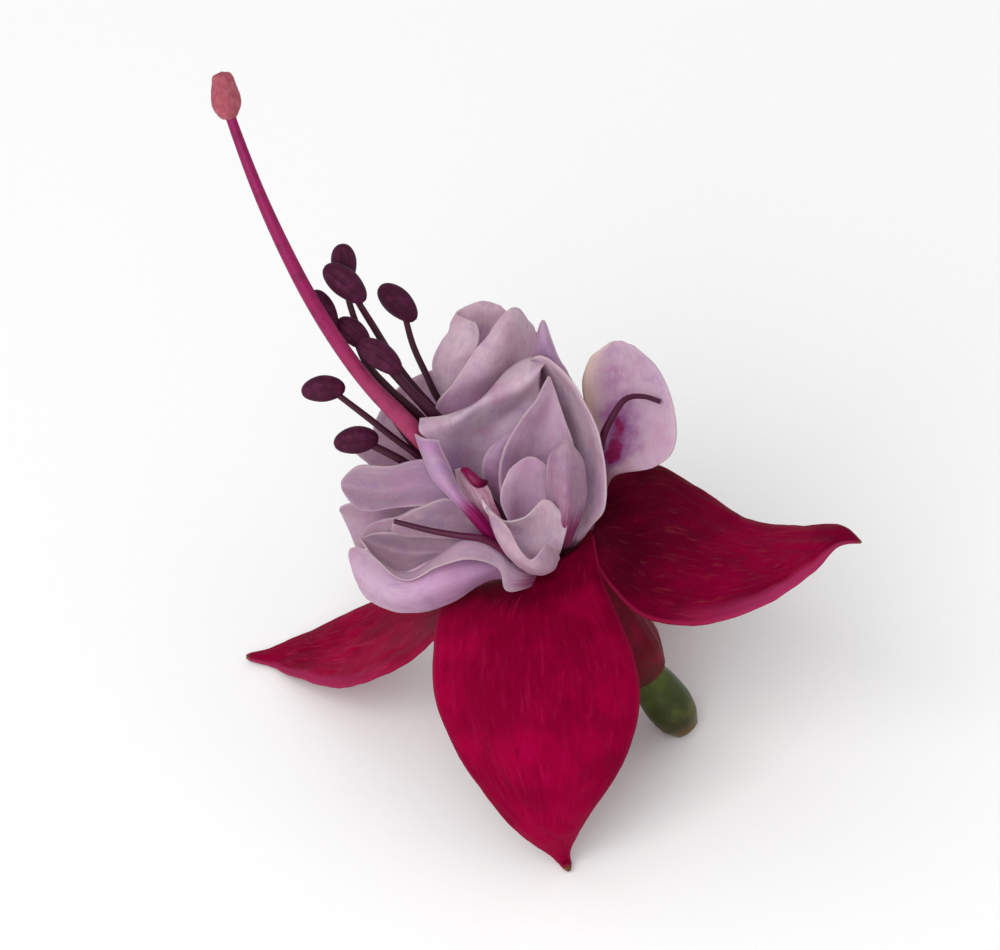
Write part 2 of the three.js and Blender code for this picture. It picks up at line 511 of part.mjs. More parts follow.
// The petals of the double corolla, from the ones at the open face back to the ones that wrap it behind.
const PETALS = {
  petal_front_lobe: {
    rows: 8,
    columns: 6,
    ribs: [
      [[5.0, -9.1, 2.6], [5.6, -9.1, 3.0], [6.2, -8.9, 2.6]],
      [[2.8, -9.7, 10.4], [4.3, -9.8, 10.6], [5.6, -9.0, 8.6]],
      [[0.0, -6.7, 13.0], [1.4, -8.5, 13.4], [3.7, -9.6, 12.6], [5.1, -9.4, 11.4], [5.7, -8.5, 10.0]],
      [
        [-1.2, -3.7, 13.0], [0.1, -6.1, 14.8], [2.0, -8.2, 15.2],
        [3.7, -9.2, 14.6], [4.9, -8.8, 13.4], [5.8, -8.1, 11.2],
      ],
      [
        [-1.4, -3.2, 13.2], [0.6, -4.9, 14.6], [1.9, -7.0, 15.6],
        [3.0, -8.3, 15.8], [4.4, -6.9, 15.0], [5.7, -7.6, 12.6],
      ],
    ],
  },
  petal_front_bowl: {
    rows: 6,
    columns: 6,
    ribs: [
      [[5.2, -8.4, 2.4], [5.8, -8.4, 2.8], [6.4, -8.1, 2.4]],
      [[1.8, -7.8, 10.5], [3.8, -8.1, 10.8], [6.0, -7.5, 9.4]],
      [[0.0, -5.5, 12.2], [3.0, -5.9, 11.2], [6.6, -5.5, 10.4]],
      [[-1.6, -3.1, 12.6], [0.7, -4.9, 13.2], [3.0, -4.2, 12.6], [4.8, -3.3, 12.4], [6.7, -4.5, 11.0]],
      [[-1.8, -2.2, 12.4], [0.2, -4.5, 14.0], [2.4, -4.0, 13.6], [4.4, -2.4, 13.0], [6.4, -3.9, 11.4]],
    ],
  },
  petal_inner_lobe: {
    tipStart: 0.8,
    ribs: [
      [[5.0, -8.4, 2.6], [5.5, -8.3, 3.0], [6.0, -8.2, 2.8]],
      [[1.4, -5.5, 9.0], [3.2, -5.7, 7.4], [5.0, -5.5, 7.4]],
      [[0.2, -3.0, 10.4], [2.7, -3.2, 8.2], [5.6, -3.0, 8.4]],
      [[0.2, -1.3, 10.6], [2.7, -1.1, 9.0], [5.6, -1.1, 8.8]],
      [[0.7, 0.2, 10.4], [3.0, 0.6, 9.6], [5.4, 0.1, 9.2]],
      [[1.2, 1.3, 10.6], [3.2, 1.8, 10.0], [4.9, 1.1, 9.6]],
    ],
  },
  petal_inner_right: {
    tipStart: 0.75,
    ribs: [
      [[6.3, -7.6, 2.4], [6.7, -7.4, 2.8], [7.1, -7.2, 2.4]],
      [[5.2, -5.5, 8.0], [6.3, -5.7, 9.8], [7.3, -6.0, 7.8]],
      [[4.7, -2.5, 9.6], [6.4, -2.7, 12.2], [8.4, -3.0, 9.0]],
      [[4.6, 0.3, 10.2], [6.4, 0.3, 12.4], [8.5, -0.5, 9.0]],
      [[4.9, 1.9, 10.2], [6.4, 2.3, 11.6], [8.2, 1.4, 9.2]],
      [[5.6, 3.0, 10.0], [6.6, 3.5, 10.6], [7.6, 2.7, 9.4]],
    ],
  },
  petal_tongue: {
    tipStart: 0.85,
    ribs: [
      [[4.6, -8.0, 1.8], [5.2, -7.9, 2.2], [5.8, -7.8, 2.0]],
      [[0.8, -4.0, 7.2], [3.0, -4.3, 5.4], [5.2, -4.0, 5.6]],
      [[-0.1, -0.5, 8.4], [3.2, -0.5, 5.6], [7.2, -0.3, 6.0]],
      [[0.5, 2.8, 9.0], [4.0, 2.8, 6.2], [7.4, 2.8, 6.4]],
      [[2.0, 5.4, 9.0], [4.6, 5.5, 6.8], [6.5, 5.5, 6.8]],
      [[3.7, 7.6, 8.8], [4.8, 7.7, 7.6], [5.8, 7.5, 7.2]],
      [[4.5, 9.6, 8.6], [4.9, 9.8, 8.4], [5.3, 9.4, 8.0]],
    ],
  },
  petal_tongue_side: {
    tipStart: 0.75,
    ribs: [
      [[4.0, -8.2, 2.4], [4.4, -8.0, 2.8], [4.8, -7.8, 2.6]],
      [[0.0, -3.0, 5.5], [1.4, -3.0, 6.0], [2.8, -2.5, 5.4]],
      [[-1.7, -0.5, 6.4], [0.0, -0.2, 6.6], [1.8, 0.4, 5.8]],
      [[-1.7, 1.4, 6.8], [-0.1, 1.8, 7.2], [1.8, 2.6, 6.4]],
      [[-0.9, 2.9, 7.0], [0.4, 3.3, 7.4], [1.9, 3.8, 6.8]],
      [[0.1, 3.7, 7.0], [0.8, 4.0, 7.2], [1.7, 4.2, 7.0]],
    ],
  },
  petal_furled: {
    rows: 8,
    ribs: [
      [[4.0, -10.2, 2.2], [4.4, -10.1, 2.6], [4.8, -10.0, 2.4]],
      [[0.3, -8.1, 7.2], [0.6, -7.9, 7.6], [0.9, -7.6, 7.2]],
      [[-3.2, -4.1, 9.6], [-2.7, -3.8, 10.2], [-2.2, -3.4, 9.8]],
      [[-4.9, -2.3, 10.2], [-4.4, -2.1, 10.8], [-3.8, -1.8, 10.2]],
      [[-6.6, -0.4, 9.6], [-5.6, -0.4, 11.2], [-4.7, -0.1, 10.0]],
      [[-8.0, 2.3, 8.8], [-7.0, 2.7, 10.6], [-5.9, 3.0, 10.0]],
      [[-8.5, 4.1, 8.6], [-7.3, 3.6, 10.2], [-6.1, 3.5, 10.0]],
    ],
  },
  petal_striped: {
    ribs: [
      [[4.4, -9.6, 2.6], [4.7, -9.5, 2.9], [5.0, -9.4, 2.8]],
      [[0.1, -7.4, 7.0], [0.7, -7.1, 7.6], [1.5, -6.8, 7.6]],
      [[-2.3, -4.3, 8.2], [-1.5, -3.7, 8.8], [-0.4, -3.1, 8.7]],
      [[-3.6, -2.0, 8.2], [-2.6, -1.6, 8.9], [-1.2, -1.2, 8.7]],
      [[-4.3, -0.5, 8.0], [-3.4, -0.4, 8.5], [-2.2, -0.3, 8.5]],
      [[-4.5, 0.6, 7.6], [-3.9, 0.7, 7.9], [-3.2, 0.5, 8.1]],
    ],
  },
  petal_swirl: {
    rows: 7,
    columns: 6,
    ribs: [
      [[3.6, -8.4, 1.2], [4.2, -8.1, 1.6], [4.8, -7.8, 1.4]],
      [[-3.0, -2.3, 6.5], [-0.8, -2.5, 4.5], [1.5, -1.5, 5.0]],
      [[-5.3, 1.0, 7.5], [-2.0, 0.9, 3.5], [1.2, 3.5, 4.5], [4.0, 4.5, 4.5]],
      [[-6.3, 2.9, 8.6], [-3.0, 3.7, 4.6], [1.0, 6.1, 4.5], [4.0, 7.7, 5.5]],
      [[-8.0, 4.3, 9.0], [-4.8, 5.3, 8.0], [-1.0, 7.7, 7.5], [2.0, 9.0, 7.4], [4.1, 10.6, 7.6]],
      [
        [-8.0, 5.6, 8.2], [-5.3, 5.9, 7.3], [-1.4, 7.8, 6.2],
        [0.7, 10.6, 4.6], [3.0, 11.7, 5.6], [4.9, 11.3, 7.0],
      ],
    ],
  },
  petal_hood: {
    rows: 8,
    ribs: [
      [[6.8, -7.5, 2.2], [7.2, -7.3, 2.4], [7.6, -7.1, 2.2]],
      [[6.0, -4.5, 4.2], [8.0, -5.3, 4.8], [9.2, -5.0, 6.4]],
      [[6.6, -0.5, 3.6], [8.8, -1.5, 5.4], [10.4, -3.3, 8.4]],
      [[6.4, 2.5, 2.8], [8.8, 2.3, 5.2], [10.4, 0.9, 8.8]],
      [[5.6, 6.0, 2.4], [8.0, 6.3, 5.6], [9.4, 5.0, 9.2]],
      [[4.6, 9.1, 3.4], [6.6, 9.3, 6.4], [7.8, 8.1, 9.4]],
      [[3.8, 10.7, 5.0], [5.1, 10.9, 7.4], [6.1, 10.5, 9.0]],
      [[3.0, 11.5, 6.6], [3.9, 11.8, 7.6], [4.8, 11.5, 8.4]],
    ],
  },
  petal_outer_right: {
    rows: 7,
    tipStart: 0.85,
    ribs: [
      [[6.8, -7.7, 0.8], [7.2, -7.5, 0.6], [7.6, -7.3, 0.2]],
      [[4.5, 0.5, 1.0], [7.5, 1.0, 1.6], [10.0, 1.5, 4.4]],
      [[3.0, 6.5, 1.2], [6.5, 7.5, 3.6], [9.2, 5.5, 5.6]],
      [[2.4, 10.5, 2.6], [5.2, 10.5, 5.0], [7.4, 9.1, 5.6]],
      [[3.3, 12.5, 3.6], [4.6, 12.5, 5.4], [5.8, 11.8, 5.2]],
      [[3.8, 14.2, 3.8], [4.3, 14.3, 4.8], [4.9, 14.1, 4.6]],
      [[4.0, 15.2, 3.8], [4.3, 15.4, 4.2], [4.6, 15.2, 4.0]],
    ],
  },
  petal_cup_lip: {
    rows: 8,
    columns: 6,
    tipStart: 0.8,
    ribs: [
      [[4.2, -9.1, 1.6], [4.4, -9.3, 2.0], [4.6, -9.5, 2.4], [4.8, -9.7, 2.8], [5.0, -9.9, 2.8]],
      [[1.5, -8.1, 4.0], [2.0, -8.8, 3.6], [2.3, -9.2, 5.0], [2.5, -9.7, 6.6], [2.6, -11.3, 6.4]],
      [[0.0, -7.3, 4.8], [0.4, -8.3, 4.6], [0.7, -8.5, 6.2], [1.1, -9.0, 8.0], [0.6, -11.5, 7.6]],
      [[-1.5, -6.7, 5.2], [-1.2, -7.7, 5.2], [-0.8, -7.5, 7.0], [-0.3, -7.6, 9.0], [-0.1, -9.4, 8.6]],
      [[-4.5, -6.2, 5.4], [-4.2, -7.7, 5.2], [-3.6, -7.4, 7.2], [-3.0, -6.4, 9.4], [-3.0, -8.4, 10.0]],
      [[-7.0, -6.1, 5.0], [-6.8, -7.7, 3.5], [-6.2, -8.3, 6.0], [-5.8, -8.0, 9.0], [-6.0, -9.1, 10.0]],
      [[-10.0, -5.8, 4.0], [-9.8, -7.7, 1.8], [-9.4, -9.1, 4.5], [-9.0, -9.9, 7.5], [-8.9, -10.4, 8.6]],
      [[-12.5, -5.7, 3.5], [-12.6, -6.8, 2.0], [-12.2, -8.0, 3.0], [-12.0, -8.7, 5.0], [-11.9, -9.1, 6.0]],
      [[-14.2, -5.9, 3.0], [-14.1, -6.2, 2.6], [-13.9, -6.4, 2.8], [-13.7, -6.6, 3.2], [-13.5, -6.8, 3.6]],
    ],
  },
  petal_cup: {
    rows: 7,
    tipStart: 0.8,
    ribs: [
      [[4.6, -9.9, 2.2], [4.7, -10.5, 2.2], [4.8, -11.1, 1.9]],
      [[0.4, -7.9, 5.6], [0.0, -9.2, 6.4], [-0.8, -10.4, 4.5]],
      [[-5.5, -8.0, 8.2], [-5.2, -10.7, 8.8], [-5.3, -12.9, 5.0]],
      [[-10.0, -9.6, 6.6], [-10.2, -11.9, 7.6], [-9.8, -13.7, 4.0]],
      [[-12.8, -7.9, 4.5], [-13.8, -9.7, 5.2], [-13.0, -12.5, 2.5]],
      [[-14.3, -6.3, 1.8], [-15.1, -7.7, 2.0], [-14.8, -10.0, 0.5]],
    ],
  },
  petal_left_inner: {
    tipStart: 0.8,
    ribs: [
      [[4.0, -9.5, 2.1], [3.8, -9.9, 2.1], [3.5, -10.3, 2.0]],
      [[-0.6, -5.3, 6.4], [-1.1, -6.4, 6.1], [-1.6, -7.3, 6.1]],
      [[-5.0, -2.3, 8.5], [-4.5, -4.5, 7.0], [-4.2, -6.5, 6.5]],
      [[-7.6, -3.0, 8.0], [-7.0, -4.7, 6.8], [-6.7, -6.3, 6.0]],
      [[-10.2, -4.4, 7.0], [-9.5, -5.2, 6.2], [-9.2, -6.2, 5.4]],
      [[-11.2, -5.1, 6.4], [-10.7, -5.6, 5.9], [-10.2, -6.2, 5.2]],
    ],
  },
  petal_left_pale: {
    tipStart: 0.75,
    ribs: [
      [[3.0, -9.4, 1.6], [3.2, -9.9, 1.3], [3.4, -10.4, 1.0]],
      [[-2.0, -4.5, 5.0], [-1.8, -6.0, 4.0], [-1.8, -7.0, 3.5]],
      [[-6.8, -2.8, 6.0], [-6.5, -4.9, 4.4], [-6.2, -6.5, 3.0]],
      [[-10.2, -4.1, 5.2], [-10.2, -5.5, 3.6], [-10.0, -6.8, 2.2]],
      [[-12.8, -4.7, 4.0], [-12.8, -5.8, 2.6], [-12.4, -7.0, 1.4]],
      [[-14.0, -5.8, 2.6], [-13.8, -6.3, 1.8], [-13.4, -7.0, 1.0]],
    ],
  },
  petal_left_upper: {
    tipStart: 0.8,
    ribs: [
      [[3.0, -9.0, 1.3], [3.3, -9.6, 1.0], [3.6, -10.2, 0.8]],
      [[-4.2, -0.3, 7.2], [-4.0, -1.7, 6.0], [-3.6, -3.1, 6.5]],
      [[-7.3, 1.6, 6.8], [-7.5, -1.0, 5.0], [-7.0, -3.1, 6.6]],
      [[-10.8, 0.8, 5.0], [-11.2, -1.5, 2.8], [-10.5, -3.4, 5.2]],
      [[-14.0, 1.0, 3.5], [-14.4, -1.3, 1.5], [-13.5, -3.5, 4.2]],
      [[-15.5, 0.5, 2.8], [-15.9, -1.0, 1.4], [-15.0, -3.1, 3.4]],
    ],
  },
  petal_left_lower: {
    tipStart: 0.85,
    ribs: [
      [[2.6, -9.6, 0.7], [2.8, -10.2, 0.5], [3.0, -10.8, 0.2]],
      [[-2.5, -4.0, 2.5], [-2.2, -5.5, 2.0], [-2.0, -7.0, 1.8]],
      [[-7.0, -2.5, 3.5], [-7.0, -4.3, 1.8], [-7.0, -6.5, 1.2]],
      [[-11.0, -2.9, 2.6], [-11.2, -4.5, 0.8], [-11.2, -7.0, 0.4]],
      [[-14.2, -3.0, 1.8], [-14.4, -4.5, 0.0], [-14.2, -7.3, -0.4]],
      [[-16.6, -3.1, 1.5], [-15.9, -4.0, -0.3], [-14.9, -6.3, -0.8]],
    ],
  },
  petal_upper: {
    tipStart: 0.85,
    rows: 7,
    ribs: [
      [[5.1, -7.9, 0.0], [5.8, -7.5, -0.2], [6.5, -7.1, -0.4]],
      [[-1.0, -1.0, 2.0], [2.0, 0.5, 1.0], [4.7, 2.0, 0.4]],
      [[-6.4, 6.6, 5.4], [-2.0, 7.5, 3.6], [2.5, 8.5, 0.2]],
      [[-4.8, 9.0, 6.4], [-1.2, 10.5, 5.4], [3.2, 11.3, -0.4]],
      [[-2.6, 12.3, 6.4], [0.0, 13.3, 5.6], [3.5, 13.0, -1.0]],
      [[-1.0, 14.2, 5.6], [0.8, 15.0, 4.8], [3.4, 14.5, -1.4]],
      [[-0.1, 16.2, 4.2], [1.4, 16.7, 3.2], [2.8, 15.9, 0.0]],
    ],
  },
  petal_upper_rolled: {
    rows: 7,
    columns: 6,
    ribs: [
      [[4.6, -7.6, -1.0], [5.0, -7.3, -1.2], [5.4, -7.0, -1.4]],
      [[-3.0, 3.5, 1.0], [-4.0, 4.5, 0.0], [-2.0, 4.5, -2.5], [2.0, 5.5, -4.0]],
      [[-3.2, 11.3, 4.2], [-5.2, 10.9, 3.4], [-6.6, 10.7, 0.5], [-3.0, 11.0, -2.4], [0.5, 11.5, -3.0]],
      [[-2.6, 12.0, 4.6], [-4.2, 12.3, 4.4], [-5.9, 13.0, 1.6], [-2.2, 13.0, -1.6], [1.2, 13.5, -2.4]],
      [[-2.1, 13.4, 4.8], [-3.3, 14.0, 4.8], [-5.0, 14.3, 2.0], [-1.6, 15.0, -1.0], [1.2, 15.3, -2.0]],
      [[-2.1, 14.4, 4.4], [-3.3, 14.9, 4.2], [-4.8, 15.2, 1.8], [-1.5, 16.4, -0.4], [0.8, 16.2, -1.4]],
      [[-2.4, 15.2, 4.0], [-3.4, 15.6, 3.4], [-4.3, 16.2, 1.6], [-1.8, 17.4, 0.0], [0.1, 16.9, -0.8]],
    ],
  },
  petal_side: {
    rows: 8,
    tipStart: 0.9,
    ribs: [
      [[7.7, -8.1, 0.4], [7.9, -8.0, 0.4], [8.1, -7.9, 0.4]],
      [[9.4, -2.8, 1.2], [9.8, -3.0, 1.6], [10.2, -3.2, 1.6]],
      [[10.0, 0.4, 1.6], [10.6, 0.1, 2.2], [11.3, -0.2, 2.6]],
      [[9.5, 3.4, 1.2], [11.8, 1.7, 2.4], [15.4, 0.8, 4.2]],
      [[8.6, 6.6, 1.0], [12.4, 4.9, 1.6], [17.2, 2.4, 5.2]],
      [[8.2, 9.5, 2.2], [12.6, 8.6, 1.6], [17.6, 5.4, 5.0]],
      [[9.0, 11.7, 2.4], [12.6, 11.9, 1.6], [16.0, 10.3, 3.6]],
      [[9.7, 12.5, 2.3], [10.9, 13.2, 2.0], [12.4, 13.4, 1.8], [14.0, 12.7, 2.4]],
    ],
  },
  petal_back_lower: {
    tipStart: 0.8,
    ribs: [
      [[2.8, -9.4, -0.4], [3.1, -9.0, -0.7], [3.4, -8.6, -1.0]],
      [[-4.0, -3.5, 1.0], [-3.8, -1.5, -0.4], [-3.5, 0.5, -1.0]],
      [[-9.0, -0.5, 0.6], [-9.0, 1.3, -0.8], [-8.5, 3.0, -1.2]],
      [[-12.0, 0.3, 0.4], [-12.2, 2.0, -0.8], [-11.5, 4.3, -1.2]],
      [[-13.8, 1.6, 0.0], [-14.8, 2.8, -0.6], [-13.8, 4.5, -0.8]],
    ],
  },
  petal_back_upper: {
    tipStart: 0.8,
    ribs: [
      [[3.4, -8.0, -1.6], [3.8, -7.6, -1.9], [4.2, -7.2, -2.1]],
      [[-5.0, -1.5, -1.5], [-3.5, 1.0, -3.4], [-1.0, 3.5, -4.6]],
      [[-10.5, 2.3, -2.0], [-7.5, 5.0, -4.0], [-3.0, 8.0, -4.6]],
      [[-12.5, 4.3, -2.0], [-9.5, 7.3, -4.0], [-4.0, 10.7, -4.2]],
      [[-12.6, 5.6, -1.8], [-10.8, 8.3, -3.0], [-6.7, 11.1, -3.4]],
    ],
  },
  petal_back_left: {
    tipStart: 0.8,
    ribs: [
      [[3.8, -6.9, -2.6], [4.2, -6.6, -2.8], [4.6, -6.4, -2.9]],
      [[0.0, 0.5, -6.0], [2.0, 1.5, -8.0], [4.5, 2.0, -8.5]],
      [[-6.0, 5.5, -6.0], [-2.0, 7.5, -9.0], [2.5, 8.0, -9.5]],
      [[-7.0, 9.0, -6.0], [-2.5, 11.0, -8.5], [2.0, 11.5, -9.0]],
      [[-5.0, 12.0, -5.5], [-2.0, 13.0, -6.8], [1.0, 13.0, -7.0]],
    ],
  },
  petal_back_middle: {
    tipStart: 0.8,
    ribs: [
      [[4.8, -6.4, -2.6], [5.2, -6.2, -2.6], [5.6, -6.1, -2.4]],
      [[3.0, 0.5, -7.5], [5.5, 1.3, -9.5], [8.0, 1.5, -8.0]],
      [[0.0, 7.5, -7.5], [4.0, 8.0, -10.0], [8.0, 7.0, -8.0]],
      [[0.0, 12.0, -6.0], [3.5, 12.5, -8.5], [6.8, 10.3, -7.0]],
      [[1.5, 14.5, -4.0], [3.3, 14.7, -5.5], [4.8, 13.0, -5.0]],
    ],
  },
  petal_back_right: {
    tipStart: 0.8,
    ribs: [
      [[6.4, -6.3, -1.6], [6.8, -6.2, -1.3], [7.2, -6.2, -1.0]],
      [[6.5, -1.5, -6.0], [8.2, -1.0, -5.5], [9.8, -1.5, -3.0]],
      [[5.5, 4.5, -6.0], [7.8, 4.5, -5.5], [10.0, 3.0, -2.0]],
      [[5.0, 8.0, -4.0], [7.0, 8.0, -3.8], [8.8, 6.5, -1.0]],
      [[5.6, 10.0, -1.5], [6.6, 9.9, -1.2], [7.6, 8.9, 0.0]],
    ],
  },
};
for (const [name, shape] of Object.entries(PETALS)) {
  place(name, LILAC, (grow) => blade(shape, PETAL_THICKNESS, grow));
}

// ---- Laying the bloom down -------------------------------------------------------------------------------

bloom.rotation.x = TIP_BACK;
bloom.position.z = REST_DEPTH;
bloom.updateMatrixWorld(true);
const middle = new THREE.Box3().setFromObject(bloom, true).getCenter(new THREE.Vector3());
bloom.position.x = -middle.x;
bloom.position.y = -middle.y;

export default bloom;
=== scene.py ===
# %% [markdown]
# # A cut bloom of a double fuchsia
#
# The flower lies on a pale table as picked. Four crimson sepals are swept back from a full skirt of folded
# lilac petals. A long style and eight stamens reach out of its open face, and a short tube and a green ovary
# sit behind. Each organ is one piece that follows the solid of the same name. One small curled tip has no
# solid.

import math

import bpy
import numpy as np
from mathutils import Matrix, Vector, noise


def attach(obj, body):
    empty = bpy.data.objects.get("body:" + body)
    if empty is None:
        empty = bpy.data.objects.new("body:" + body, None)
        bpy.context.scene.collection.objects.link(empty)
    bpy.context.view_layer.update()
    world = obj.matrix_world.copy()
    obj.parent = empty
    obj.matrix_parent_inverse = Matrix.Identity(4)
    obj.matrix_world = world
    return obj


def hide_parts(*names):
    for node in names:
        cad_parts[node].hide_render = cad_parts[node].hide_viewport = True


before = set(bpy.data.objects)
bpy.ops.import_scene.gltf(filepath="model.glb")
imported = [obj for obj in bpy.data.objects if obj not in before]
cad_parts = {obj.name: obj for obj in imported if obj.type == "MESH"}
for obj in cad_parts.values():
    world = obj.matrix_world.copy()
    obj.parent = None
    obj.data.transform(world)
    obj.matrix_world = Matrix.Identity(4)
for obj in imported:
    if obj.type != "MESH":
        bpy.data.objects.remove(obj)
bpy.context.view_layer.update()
print("solids:", len(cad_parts))

# %% [markdown]
# The bloom is drawn in its own frame, in millimetres: x to its right, y towards the stigma and z out of its
# open face. One turn and one shift carry a point from there to the table, in metres. The same turn was used
# for the solids, so that each organ lands on its own.

# %% From the bloom to the table
MM = 0.001
TIP_BACK = math.radians(49.2)
BLOOM_ORIGIN = np.array((-3.619, 2.621, 27.0))


def to_table(points):
    points = np.asarray(points, float)
    x, y, z = points[..., 0], points[..., 1], points[..., 2]
    turned = np.stack(
        (
            x,
            y * math.cos(TIP_BACK) - z * math.sin(TIP_BACK),
            y * math.sin(TIP_BACK) + z * math.cos(TIP_BACK),
        ),
        axis=-1,
    )
    return (turned + BLOOM_ORIGIN) * MM


print("middle of the corolla:", to_table((0, 0, 0)).round(4))

# %% [markdown]
# ## The camera
#
# A flower this small is taken from well back with a long lens, so that near and far organs keep their sizes.
# The camera looks straight into the bloom's own frame, which means that it looks down on the table.

# %% Camera
CAMERA_DISTANCE = 1.5
VIEW_WIDTH = 0.1  # how much of the scene fits across the picture, at the bloom
SENSOR_WIDTH = 36.0

camera_data = bpy.data.cameras.new("camera")
camera_data.sensor_width = SENSOR_WIDTH
camera_data.lens = SENSOR_WIDTH * CAMERA_DISTANCE / VIEW_WIDTH
camera = bpy.data.objects.new("camera", camera_data)
bpy.context.scene.collection.objects.link(camera)
aim = Vector(to_table((0, 0, 0)))
camera.location = Vector(to_table((0, 0, CAMERA_DISTANCE / MM)))
camera.rotation_euler = (aim - camera.location).to_track_quat("-Z", "Y").to_euler()
bpy.context.scene.camera = camera
print("camera at", [round(c, 3) for c in camera.location])

# %% [markdown]
# ## The table and the light
#
# Petals are thin and let light through, so they look best under light that comes from all round. A white sky
# gives most of it. One large soft lamp from the upper left gives the folds a bright and a shaded side.

# %% Table
TABLE_SIZE = 6.0


def link(name, data):
    made = bpy.data.objects.new(name, data)
    bpy.context.scene.collection.objects.link(made)
    return made


half = TABLE_SIZE / 2
table_mesh = bpy.data.meshes.new("table_top")
table_corners = [(-half, -half, 0), (half, -half, 0), (half, half, 0), (-half, half, 0)]
table_mesh.from_pydata(table_corners, [], [(0, 1, 2, 3)])
table = link("table_top", table_mesh)
print("table:", TABLE_SIZE, "m wide")

# %% Light
SKY_STRENGTH = 0.7
LAMP_POWER = 6.0
LAMP_SIZE = 0.8
LAMP_PLACE = (-0.34, -0.62, 0.62)

sky = bpy.data.worlds.new("sky")
sky.use_nodes = True
sky.node_tree.nodes["Background"].inputs["Color"].default_value = (1, 1, 1, 1)
sky.node_tree.nodes["Background"].inputs["Strength"].default_value = SKY_STRENGTH
bpy.context.scene.world = sky

lamp_data = bpy.data.lights.new("soft_lamp", "AREA")
lamp_data.energy = LAMP_POWER
lamp_data.size = LAMP_SIZE
lamp = link("soft_lamp", lamp_data)
lamp.location = LAMP_PLACE
lamp.rotation_euler = (aim - lamp.location).to_track_quat("-Z", "Y").to_euler()
bpy.context.scene.view_settings.view_transform = "Standard"
print("sky", SKY_STRENGTH, "lamp", LAMP_POWER, "W")

# %% [markdown]
# ## Helpers for finishes
#
# A finish is a tree of nodes. These few helpers keep each tree short enough to read: one adds a node and
# fills its sockets, and the others mix two colours, ease a value in and out, or do one sum.

# %% Node helpers
def colour(red, green, blue):
    """A screen colour of 0 to 255 as the linear colour that nodes use."""
    def linear(value):
        share = value / 255
        return share / 12.92 if share <= 0.04045 else ((share + 0.055) / 1.055) ** 2.4
    return (linear(red), linear(green), linear(blue), 1.0)


def add_node(tree, kind, inputs=None, **settings):
    node = tree.nodes.new(kind)
    for name, value in settings.items():
        setattr(node, name, value)
    for key, value in (inputs or {}).items():
        if isinstance(value, bpy.types.NodeSocket):
            tree.links.new(value, node.inputs[key])
        else:
            node.inputs[key].default_value = value
    return node


def mix(tree, share, first, second):
    return add_node(tree, "ShaderNodeMix", {0: share, 6: first, 7: second}, data_type="RGBA").outputs[2]


def ease(tree, value, low, high, top=1.0):
    """0 where value is low, top where it is high, with a smooth step between. low may be above high."""
    inputs = {"Value": value, "From Min": low, "From Max": high, "To Max": top}
    return add_node(tree, "ShaderNodeMapRange", inputs, interpolation_type="SMOOTHSTEP").outputs["Result"]


def sum_up(tree, operation, first, second):
    return add_node(tree, "ShaderNodeMath", {0: first, 1: second}, operation=operation).outputs["Value"]


def cells(tree, vector, scale, detail=2.0, roughness=0.5, distortion=0.0):
    inputs = {"Vector": vector, "Scale": scale, "Detail": detail, "Roughness": roughness,
              "Distortion": distortion}
    return add_node(tree, "ShaderNodeTexNoise", inputs).outputs["Fac"]


def attribute(tree, name):
    return add_node(tree, "ShaderNodeAttribute", attribute_name=name).outputs["Fac"]


def own_place(tree):
    return add_node(tree, "ShaderNodeTexCoord").outputs["Object"]


def organ_map(tree):
    """How far a place is across its organ, and along it from the root."""
    flat = add_node(tree, "ShaderNodeUVMap", uv_map="organ").outputs[0]
    parts = add_node(tree, "ShaderNodeSeparateXYZ", {0: flat}).outputs
    return parts["X"], parts["Y"]


def new_finish(name):
    finish = bpy.data.materials.new(name)
    finish.use_nodes = True
    finish.node_tree.nodes.clear()
    return finish, finish.node_tree


def show(tree, shader):
    add_node(tree, "ShaderNodeOutputMaterial", {"Surface": shader})


print("white is", colour(255, 255, 255))

# %% [markdown]
# ## The table's finish
#
# The table is plain and nearly white. A fine grain keeps the surface from looking like a flat sheet of light.

# %% Table finish
table_finish, tree = new_finish("table_white")
grain = cells(tree, own_place(tree), 900.0, 3.0)
table_colour = mix(tree, grain, colour(249, 249, 249), colour(252, 252, 252))
table_skin = add_node(tree, "ShaderNodeBsdfPrincipled", {"Base Color": table_colour, "Roughness": 0.8})
show(tree, table_skin.outputs[0])
table.data.materials.append(table_finish)
print("table finish ready")

# %% [markdown]
# ## Smooth curves through given points
#
# Each petal is drawn with a few ribs, and each rib with a few points. A centripetal spline passes through
# every point and doesn't overshoot where two points are close, so it suits folds.

# %% Splines
def spline(points, at):
    """Points on a centripetal spline. points is (n, 3) with many values of at, or (n, m, 3) with one."""
    points = np.asarray(points, float)
    count = len(points)
    ends = (2 * points[:1] - points[1:2], 2 * points[-1:] - points[-2:-1])
    padded = np.concatenate((ends[0], points, ends[1]))
    place = np.clip(np.asarray(at, float), 0, 1) * (count - 1)
    span = np.minimum(place.astype(int), count - 2)
    share = (place - span)[..., None]
    p0, p1, p2, p3 = (padded[span + k] for k in range(4))
    gaps = ((p0, p1), (p1, p2), (p2, p3))
    d0, d1, d2 = (np.sqrt(np.linalg.norm(b - a, axis=-1, keepdims=True)) for a, b in gaps)
    d1 = np.maximum(d1, 1e-4)
    d0 = np.where(d0 < 1e-4, d1, d0)
    d2 = np.where(d2 < 1e-4, d1, d2)
    t1 = ((p1 - p0) / d0 - (p2 - p0) / (d0 + d1) + (p2 - p1) / d1) * d1
    t2 = ((p2 - p1) / d1 - (p3 - p1) / (d1 + d2) + (p3 - p2) / d2) * d1
    s, s2, s3 = share, share**2, share**3
    return p1 * (2 * s3 - 3 * s2 + 1) + t1 * (s3 - 2 * s2 + s) + p2 * (3 * s2 - 2 * s3) + t2 * (s3 - s2)


